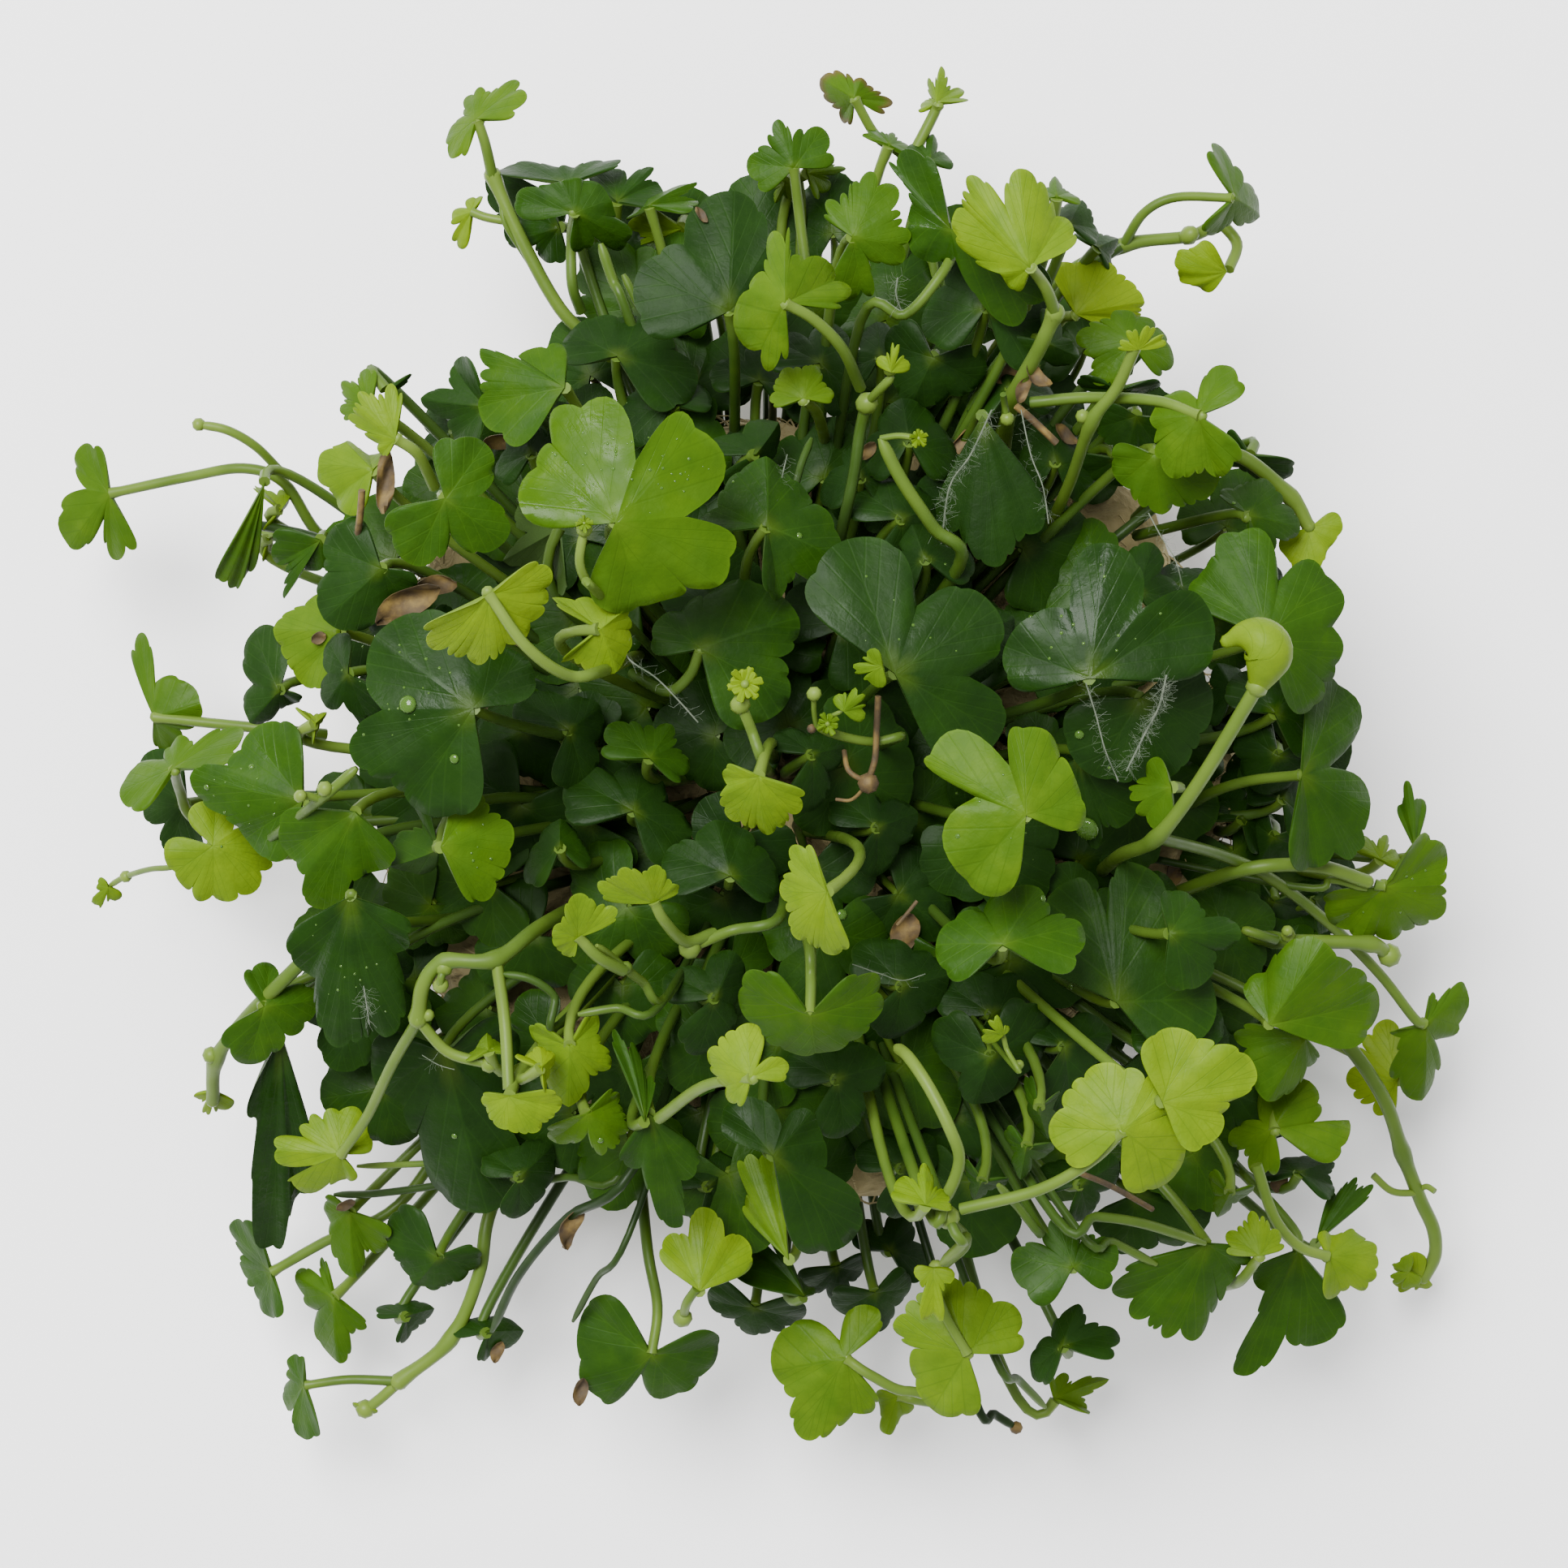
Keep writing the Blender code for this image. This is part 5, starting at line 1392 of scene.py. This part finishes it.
# Course, radius, age and whether the stalk runs on down to the pad
THIN_STALKS = [
    (((1085, 540, 41), (1110, 590, 40), (1150, 650, 38), (1182, 697, 35.5)), 0.5, 0.3, True),
    (((1130, 540, 42), (1108, 537, 41.5), (1085, 540, 41)), 0.24, 0.15, False),
    (((1100, 464, 41), (1084, 480, 40), (1068, 497, 38)), 0.34, 0.2, False),
    (((1068, 497, 38), (1060, 530, 36.5), (1052, 585, 35.5), (1038, 650, 33)), 0.45, 0.55, True),
    (((440, 946, 41), (415, 968, 40.5), (395, 985, 39.5), (335, 1032, 32)), 0.4, 0.3, False),
    (((368, 981, 40.5), (380, 981, 40), (395, 985, 39.5)), 0.3, 0.2, False),
    (((412, 1472, 16), (470, 1470, 18), (560, 1456, 20), (640, 1430, 23)), 0.3, 0.75, True),
    (((440, 1437, 19), (520, 1434, 21), (600, 1430, 22), (680, 1420, 24)), 0.26, 0.3, True),
    (((640, 1458, 22), (700, 1450, 24), (770, 1440, 26)), 0.32, 0.5, True),
    (((134, 1092, 20), (155, 1080, 22), (185, 1071, 25), (218, 1067, 27), (262, 1046, 27.4)), 0.24, 0.2,
     False),
    (((245, 523, 24), (280, 530, 24), (315, 550, 23), (345, 580, 21)), 0.36, 0.15, False),
    (((1181, 297, 36.2), (1160, 338, 38.5), (1115, 388, 38), (1060, 396, 36)), 0.4, 0.3, True),
    (((1104, 1290, 40), (1120, 1303, 43), (1145, 1340, 44.5), (1170, 1390, 45), (1182, 1430, 44),
      (1165, 1475, 42.5), (1142, 1487, 41)), 0.46, 0.1, True),
    (((1160, 1556, 35), (1190, 1525, 39), (1168, 1500, 42)), 0.4, 0.2, True),
    (((850, 1168, 43), (900, 1147, 42), (962, 1128, 41)), 0.42, 0.3, True),
    (((770, 1193, 43), (792, 1210, 41), (822, 1228, 38)), 0.36, 0.3, True),
    (((735, 1165, 46), (755, 1180, 44), (770, 1193, 43)), 0.3, 0.2, False),
    (((1230, 1460, 38), (1250, 1482, 36), (1276, 1505, 33)), 0.34, 0.35, True),
    (((1485, 1532, 31), (1410, 1508, 34), (1350, 1499, 35), (1300, 1500, 35)), 0.38, 0.35, True),
    (((1425, 1558, 30), (1370, 1530, 32), (1325, 1512, 33)), 0.34, 0.4, True),
    (((1288, 1734, 16), (1255, 1700, 19), (1225, 1670, 22)), 0.34, 0.45, True),
    (((1250, 1758, 12.5), (1225, 1742, 13.5), (1200, 1722, 15)), 0.36, 0.9, True),
    (((606, 1640, 17), (640, 1570, 22), (700, 1500, 27), (780, 1440, 32)), 0.38, 0.9, True),
    (((706, 1628, 19), (735, 1575, 23), (775, 1520, 27)), 0.28, 0.7, True),
    (((740, 300, 29), (755, 345, 28.5), (778, 400, 28)), 0.42, 0.4, True),
    (((768, 338, 28.5), (790, 380, 28), (824, 414, 27)), 0.36, 0.5, True),
    (((300, 645, 19), (345, 652, 20.5), (412, 672, 22)), 0.4, 0.8, True),
    (((620, 1200, 40), (655, 1207, 40), (683, 1228, 39.5), (690, 1262, 38)), 0.32, 0.6, True),
    (((712, 1250, 41), (760, 1242, 41), (812, 1240, 40)), 0.32, 0.4, True),
    (((720, 652, 51.6), (714, 690, 51), (722, 715, 50), (738, 732, 49)), 0.34, 0.15, True),
    (((912, 866, 45), (926, 900, 44), (942, 944, 42)), 0.42, 0.2, True),
    (((1003, 858, 45), (1003, 876, 44), (1006, 896, 43)), 0.2, 0.2, False),
    (((1038, 876, 44.5), (1022, 884, 44), (1006, 896, 43)), 0.18, 0.2, False),
    (((1006, 896, 43), (1040, 908, 42), (1078, 914, 41), (1110, 908, 39)), 0.34, 0.25, True),
    (((1235, 1272, 40), (1240, 1292, 39.5), (1246, 1311, 39)), 0.2, 0.15, True),
    (((1530, 1145, 27), (1552, 1152, 27), (1572, 1158, 26)), 0.4, 0.3, False),
    (((842, 1624, 27), (846, 1606, 29), (858, 1588, 30)), 0.36, 0.2, False),
    (((617, 243, 24.6), (622, 275, 24.6), (640, 305, 24), (656, 330, 23.6)), 0.22, 0.35, False),
    (((1684, 1096, 26), (1640, 1084, 26.5), (1594, 1092, 26)), 0.3, 0.3, True),
    (((1241, 515, 36.5), (1238, 500, 37), (1236, 486, 38)), 0.25, 0.3, False),
    (((1000, 540, 35), (985, 580, 36), (975, 640, 37)), 0.3, 0.7, True),
    (((542, 1216, 40.5), (543, 1206, 41), (545, 1200, 41)), 0.3, 0.2, False),
    (((1302, 348, 25), (1350, 322, 24.5), (1380, 303, 24.5)), 0.5, 0.5, False),
]

# Place, radius, stretch and age
SMALL_KNOBS = [
    ((1068, 497, 38), 0.85, 1.1, 0.25), ((1098, 455, 41.3), 0.5, 1.6, 0.15),
    ((370, 981, 40.5), 0.5, 1.2, 0.1), ((400, 972, 40.6), 0.6, 1.1, 0.1), ((155, 1080, 22), 0.5, 1.0, 0.1),
    ((245, 523, 24), 0.55, 0.9, 0.1), ((1168, 1500, 42), 0.9, 1.0, 0.15),
    ((1153, 1560, 32.5), 0.5, 1.3, 0.05), ((850, 1168, 43), 0.85, 1.0, 0.25),
    ((770, 1193, 43), 0.55, 1.3, 0.35), ((720, 652, 51.8), 0.6, 1.0, 0.15),
    ((912, 868, 45), 0.75, 1.1, 0.15), ((1003, 855, 45.3), 0.55, 1.1, 0.1),
    ((1255, 1312, 39), 0.4, 1.2, 0.1), ((841, 1624, 27), 0.75, 1.2, 0.15),
    ((1241, 516, 36.5), 0.55, 1.0, 0.1), ((543, 1214, 40.3), 0.6, 1.2, 0.1),
    ((527, 1251, 38.2), 0.5, 1.2, 0.15), ((1586, 1147, 26.5), 0.45, 1.1, 0.1),
    ((1465, 290, 24.5), 0.75, 1.3, 0.2), ((1136, 1487, 41), 0.6, 1.1, 0.1),
]

# Place, size in picture pixels, number of leaves, age and turn
ROSETTES = [
    ((1132, 540, 42.2), 11, 5, 0.1, 0.4), ((918, 843, 46), 21, 6, 0.05, 0.2),
    ((1020, 892, 44), 14, 4, 0.25, 0.5), ((720, 645, 52.4), 10, 4, 0.2, 0.1),
]

# Junction, ends and age
TINY_LEAVES = [
    ((1098, 458, 42), ((1090, 432, 0), (1103, 421, 1), (1117, 438, 0)), 0.1),
    ((1040, 876, 45), ((1038, 852, 0), (1062, 850, 1), (1070, 872, 0)), 0.28),
    ((1088, 820, 46), ((1062, 806, 0), (1050, 826, -1), (1066, 840, -1)), 0.25),
    ((1236, 1274, 40.5), ((1206, 1272, 0), (1222, 1254, 1), (1240, 1262, 0)), 0.15),
    ((134, 1092, 20.5), ((118, 1088, 0), (120, 1120, -1), (136, 1112, -1)), 0.2),
    ((1150, 1562, 33.4), ((1130, 1580, 0), (1150, 1634, -1), (1168, 1588, 0)), 0.08),
    ((448, 1732, 12.5), ((440, 1738, -1), (444, 1748, -1), (458, 1744, -1)), 0.15),
    ((1736, 1566, 8), ((1718, 1552, 1), (1712, 1578, 0), (1734, 1590, -1)), 0.2),
]


def thin_stalk(shape, course, radius, age, rooted):
    """A stalk that narrows at its tip and darkens along its length, and much more as painted shade where it
    runs on hidden down to the pad.
    """
    points = points_at(course)
    shown = 6 * (len(points) - 1)
    if rooted:
        points.append(foot_for(points[-1]))
    path = smooth_path(points, 6)
    radii = [radius * (1.0 - 0.5 * math.exp(-(index / 0.9) ** 2)) for index in range(len(path))]
    # Painted shade: past its shown part, the tone darkens fast on the hidden way down to the pad
    tones = [age + 0.25 * min(index / shown, 1.0) + 0.1 * max(index - shown, 0)
             for index in range(len(path))]
    add_tube(shape, path, radii, tones)


def small_stems():
    """All small stalks, buds, rosettes and tiny leaves as one piece."""
    shape = Shape()
    for stalk in THIN_STALKS:
        thin_stalk(shape, *stalk)
    for place, radius, stretch, age in SMALL_KNOBS:
        add_knob(shape, at(*place), radius, age, stretch=stretch, lean=Vector((0.5, 0.3, 1.0)))
    for star in ROSETTES:
        rosette(shape, *star)
    for junction, ends, age in TINY_LEAVES:
        add_small_leaf(shape, junction, ends, age, cup=0.2, back=60, teeth=2, cut=0.22, fineness=6,
                       seed=wave_seed(junction[0]))
    as_piece("small_stems_and_buds", shape, PLANT)


small_stems()

# Dead stalks, papery bracts and withered leaf scraps that lie in the clump

# Course and radius
DRY_STALKS = [
    (((1082, 858, 43), (1080, 900, 42), (1078, 935, 41.5), (1070, 962, 41)), 0.24),
    (((1070, 965, 41), (1046, 950, 41), (1040, 925, 40)), 0.2),
    (((1070, 965, 41), (1050, 985, 40), (1030, 985, 39.5)), 0.14),
    (((446, 604, 40), (444, 632, 39), (440, 664, 37)), 0.26),
    (((1252, 500, 38), (1275, 520, 37.5), (1302, 546, 37)), 0.28),
    (((1130, 1110, 41), (1118, 1125, 41), (1105, 1140, 41)), 0.14),
    (((1330, 1445, 38), (1370, 1462, 36), (1420, 1490, 33)), 0.22),
]

# Place and radius
DRY_KNOBS = [((1070, 965, 41), 0.8), ((1000, 898, 43), 0.36), ((1252, 1759, 12.4), 0.55)]

# Place, length, width, heading, curl and tilt
DRY_FLAKES = [
    ((1184, 548, 40), 6.2, 1.2, 1.05, 0.2, 0.6), ((1072, 556, 41.5), 1.6, 1.0, 0.9, 0.5, 0.4),
    ((1240, 458, 40.5), 2.6, 1.6, 0.5, 0.8, 0.7), ((1272, 462, 40), 2.4, 1.2, 2.4, 0.8, 0.5),
    ((1258, 476, 39), 2.0, 1.0, 1.2, 0.6, 0.3), ((700, 1505, 26.5), 3.4, 1.6, 1.2, 0.5, 0.8),
    ((714, 1714, 18), 2.2, 1.2, 1.4, 0.6, 0.4), ((1115, 1150, 41), 3.0, 2.2, 1.3, 0.4, 0.3),
    ((470, 590, 38), 4.8, 1.4, 1.5, 0.3, 0.4), ((500, 735, 43), 5.4, 2.2, 0.5, 0.6, 0.5),
    ((535, 715, 43), 3.6, 1.6, 0.2, 0.7, 0.4), ((620, 545, 44), 3.0, 1.2, 0.1, 0.5, 0.4),
    ((1575, 1460, 25), 1.8, 1.4, 1.2, 0.5, 0.4), ((395, 785, 31), 1.2, 0.9, 0.5, 0.4, 0.4),
    ((426, 1484, 18), 1.6, 0.8, 0.4, 0.4, 0.4), ((612, 1660, 14), 1.8, 1.0, 1.2, 0.4, 0.4),
    ((1310, 540, 38), 2.2, 1.0, 2.4, 0.5, 0.4), ((865, 268, 30), 1.4, 0.6, 2.2, 0.4, 0.4),
    ((1445, 1070, 33), 2.2, 1.4, 1.2, 0.4, 0.4),
]


def surface_under(x, y):
    """The point and upward normal of the first piece met at a picture place, in millimetres."""
    eye = Vector((0.0, 0.0, CANOPY_HEIGHT + EYE_ABOVE_CANOPY))
    aim = (at(x, y, CANOPY_HEIGHT) - eye).normalized()
    sights = bpy.context.evaluated_depsgraph_get()
    met, place, normal = bpy.context.scene.ray_cast(sights, eye * MM, aim)[:3]
    if not met or place.z < LOWEST_REST * MM:
        return None
    return place / MM, -normal if normal.z < 0 else normal


def dry_bits():
    """All dry bits as one piece; the flakes lie on whatever is under them."""
    shape = Shape()
    for course, radius in DRY_STALKS:
        add_tube(shape, smooth_path(points_at(course), 6), radius, 0.5, slot=DRY, sides=6)
    for place, radius in DRY_KNOBS:
        add_knob(shape, at(*place), radius, 0.5, slot=DRY)
    for place, length, width, heading, curl, tilt in DRY_FLAKES:
        resting = surface_under(*place[:2])
        centre = resting[0] + resting[1] * 0.35 if resting else at(*place)
        add_flake(shape, centre, length, width, heading, curl, tilt, place[0])
    as_piece("dry_bracts_and_scraps", shape, PLANT)


dry_bits()

# White air roots between the leaves

# Course, radius and number of hairs
AIR_ROOTS = [
    (((1338, 842, 48), (1350, 880, 47), (1362, 925, 46), (1378, 962, 44)), 0.11, 90),
    (((1437, 832, 48), (1428, 870, 46.5), (1410, 905, 45), (1388, 950, 44)), 0.14, 320),
    (((1415, 632, 38), (1430, 660, 38), (1448, 690, 38), (1457, 722, 37)), 0.09, 60),
    (((768, 788, 45), (775, 812, 45), (808, 835, 44), (835, 862, 43), (860, 890, 42)), 0.11, 60),
    (((1222, 505, 40), (1196, 560, 39), (1170, 600, 38.5), (1160, 670, 37)), 0.12, 260),
    (((1258, 505, 39), (1270, 560, 38.5), (1285, 600, 38), (1292, 645, 37)), 0.1, 60),
    (((1106, 342, 41), (1104, 362, 41), (1110, 382, 40)), 0.1, 50),
    (((520, 1300, 37), (540, 1312, 37), (560, 1318, 37)), 0.06, 10),
    (((1050, 1188, 42), (1085, 1200, 42), (1112, 1208, 42), (1140, 1200, 41)), 0.06, 14),
    (((945, 640, 40), (960, 600, 39), (970, 560, 38)), 0.08, 60),
    (((448, 1215, 42), (452, 1240, 41), (455, 1262, 40)), 0.08, 60),
]


def fuzzy_roots():
    """The air roots with their hairs as one piece."""
    random.seed(ROOT_SEED)
    shape = Shape()
    for course, radius, hairs in AIR_ROOTS:
        path = smooth_path(points_at(course), 8)
        add_tube(shape, path, radius * 0.5, 0.5, slot=ONLY, sides=5)
        for hair in range(hairs):
            base = path[random.randrange(1, len(path) - 1)]
            way = Vector((random.gauss(0, 1), random.gauss(0, 1), random.gauss(0, 0.5))).normalized()
            length = random.uniform(*HAIR_LENGTHS)
            bend = Vector((random.gauss(0, 0.15), random.gauss(0, 0.15), random.gauss(0, 0.1)))
            add_tube(shape, [base, base + way * length * 0.5 + bend, base + way * length], HAIR_RADIUS, 0.5,
                     slot=ONLY, sides=3)
    as_piece("white_air_roots", shape, [root_material()])


fuzzy_roots()

# Water drops

# Picture place and radius in picture pixels
LONE_DROPS = [
    (503, 868, 11), (560, 935, 6), (1340, 1020, 16), (1037, 1127, 7), (1330, 905, 6), (1270, 760, 3),
    (1285, 1107, 4), (1320, 1215, 4), (985, 660, 4), (310, 945, 4), (255, 970, 4), (560, 1400, 4),
    (740, 1405, 4), (1180, 1030, 3), (1520, 620, 3),
]

# Middle of each patch of beads, its spread and its number of beads
BEAD_PATCHES = [
    (735, 560, 70, 26), (840, 580, 50, 18), (500, 850, 60, 20), (1340, 760, 80, 12), (1130, 760, 80, 10),
    (1240, 1000, 80, 8), (1720, 1100, 40, 10), (430, 1200, 50, 12), (590, 1040, 30, 6), (300, 980, 50, 12),
]


def water_drops():
    """Round drops on the leaf under each picture place, with smaller beads on the wet leaves."""
    random.seed(DROP_SEED)
    shape = Shape()
    drops = list(LONE_DROPS)
    for x, y, spread, count in BEAD_PATCHES:
        for bead in range(count):
            drops.append((random.gauss(x, spread * 0.5), random.gauss(y, spread * 0.5),
                          random.uniform(*BEAD_RADII)))
    for x, y, size in drops:
        resting = surface_under(x, y)
        if resting:
            add_drop(shape, *resting, size * MM_PER_PIXEL)
    as_piece("water_drops", shape, [water_material()])


water_drops()

# Studio

def studio():
    """A plain white room: a pale floor, even light from all round and one soft lamp above."""
    floor = bpy.data.meshes.new("floor")
    floor.from_pydata([(-FLOOR_HALF, -FLOOR_HALF, 0), (FLOOR_HALF, -FLOOR_HALF, 0),
                       (FLOOR_HALF, FLOOR_HALF, 0), (-FLOOR_HALF, FLOOR_HALF, 0)], [], [(0, 1, 2, 3)])
    floor.materials.append(floor_material())
    ground = bpy.data.objects.new("floor", floor)
    bpy.context.scene.collection.objects.link(ground)
    world = bpy.data.worlds.new("studio")
    bpy.context.scene.world = world
    world.use_nodes = True
    light = world.node_tree.nodes["Background"]
    light.inputs[0].default_value = (1.0, 1.0, 1.0, 1.0)
    light.inputs[1].default_value = 1.0
    lamp = bpy.data.lights.new("overhead", "AREA")
    lamp.shape = "DISK"
    lamp.size = LAMP_SIZE
    lamp.energy = LAMP_POWER
    overhead = bpy.data.objects.new("overhead", lamp)
    overhead.location = LAMP_PLACE
    overhead.rotation_euler = (-overhead.location).to_track_quat("-Z", "Y").to_euler()
    bpy.context.scene.collection.objects.link(overhead)


def camera():
    """The view from straight above that at() is worked out for."""
    lens = bpy.data.cameras.new("camera")
    lens.angle = 2.0 * math.atan(PICTURE_MIDDLE * MM_PER_PIXEL / EYE_ABOVE_CANOPY)
    lens.clip_start = 0.01
    eye = bpy.data.objects.new("camera", lens)
    eye.location = (0.0, 0.0, (CANOPY_HEIGHT + EYE_ABOVE_CANOPY) * MM)
    bpy.context.scene.collection.objects.link(eye)
    bpy.context.scene.camera = eye


studio()
camera()
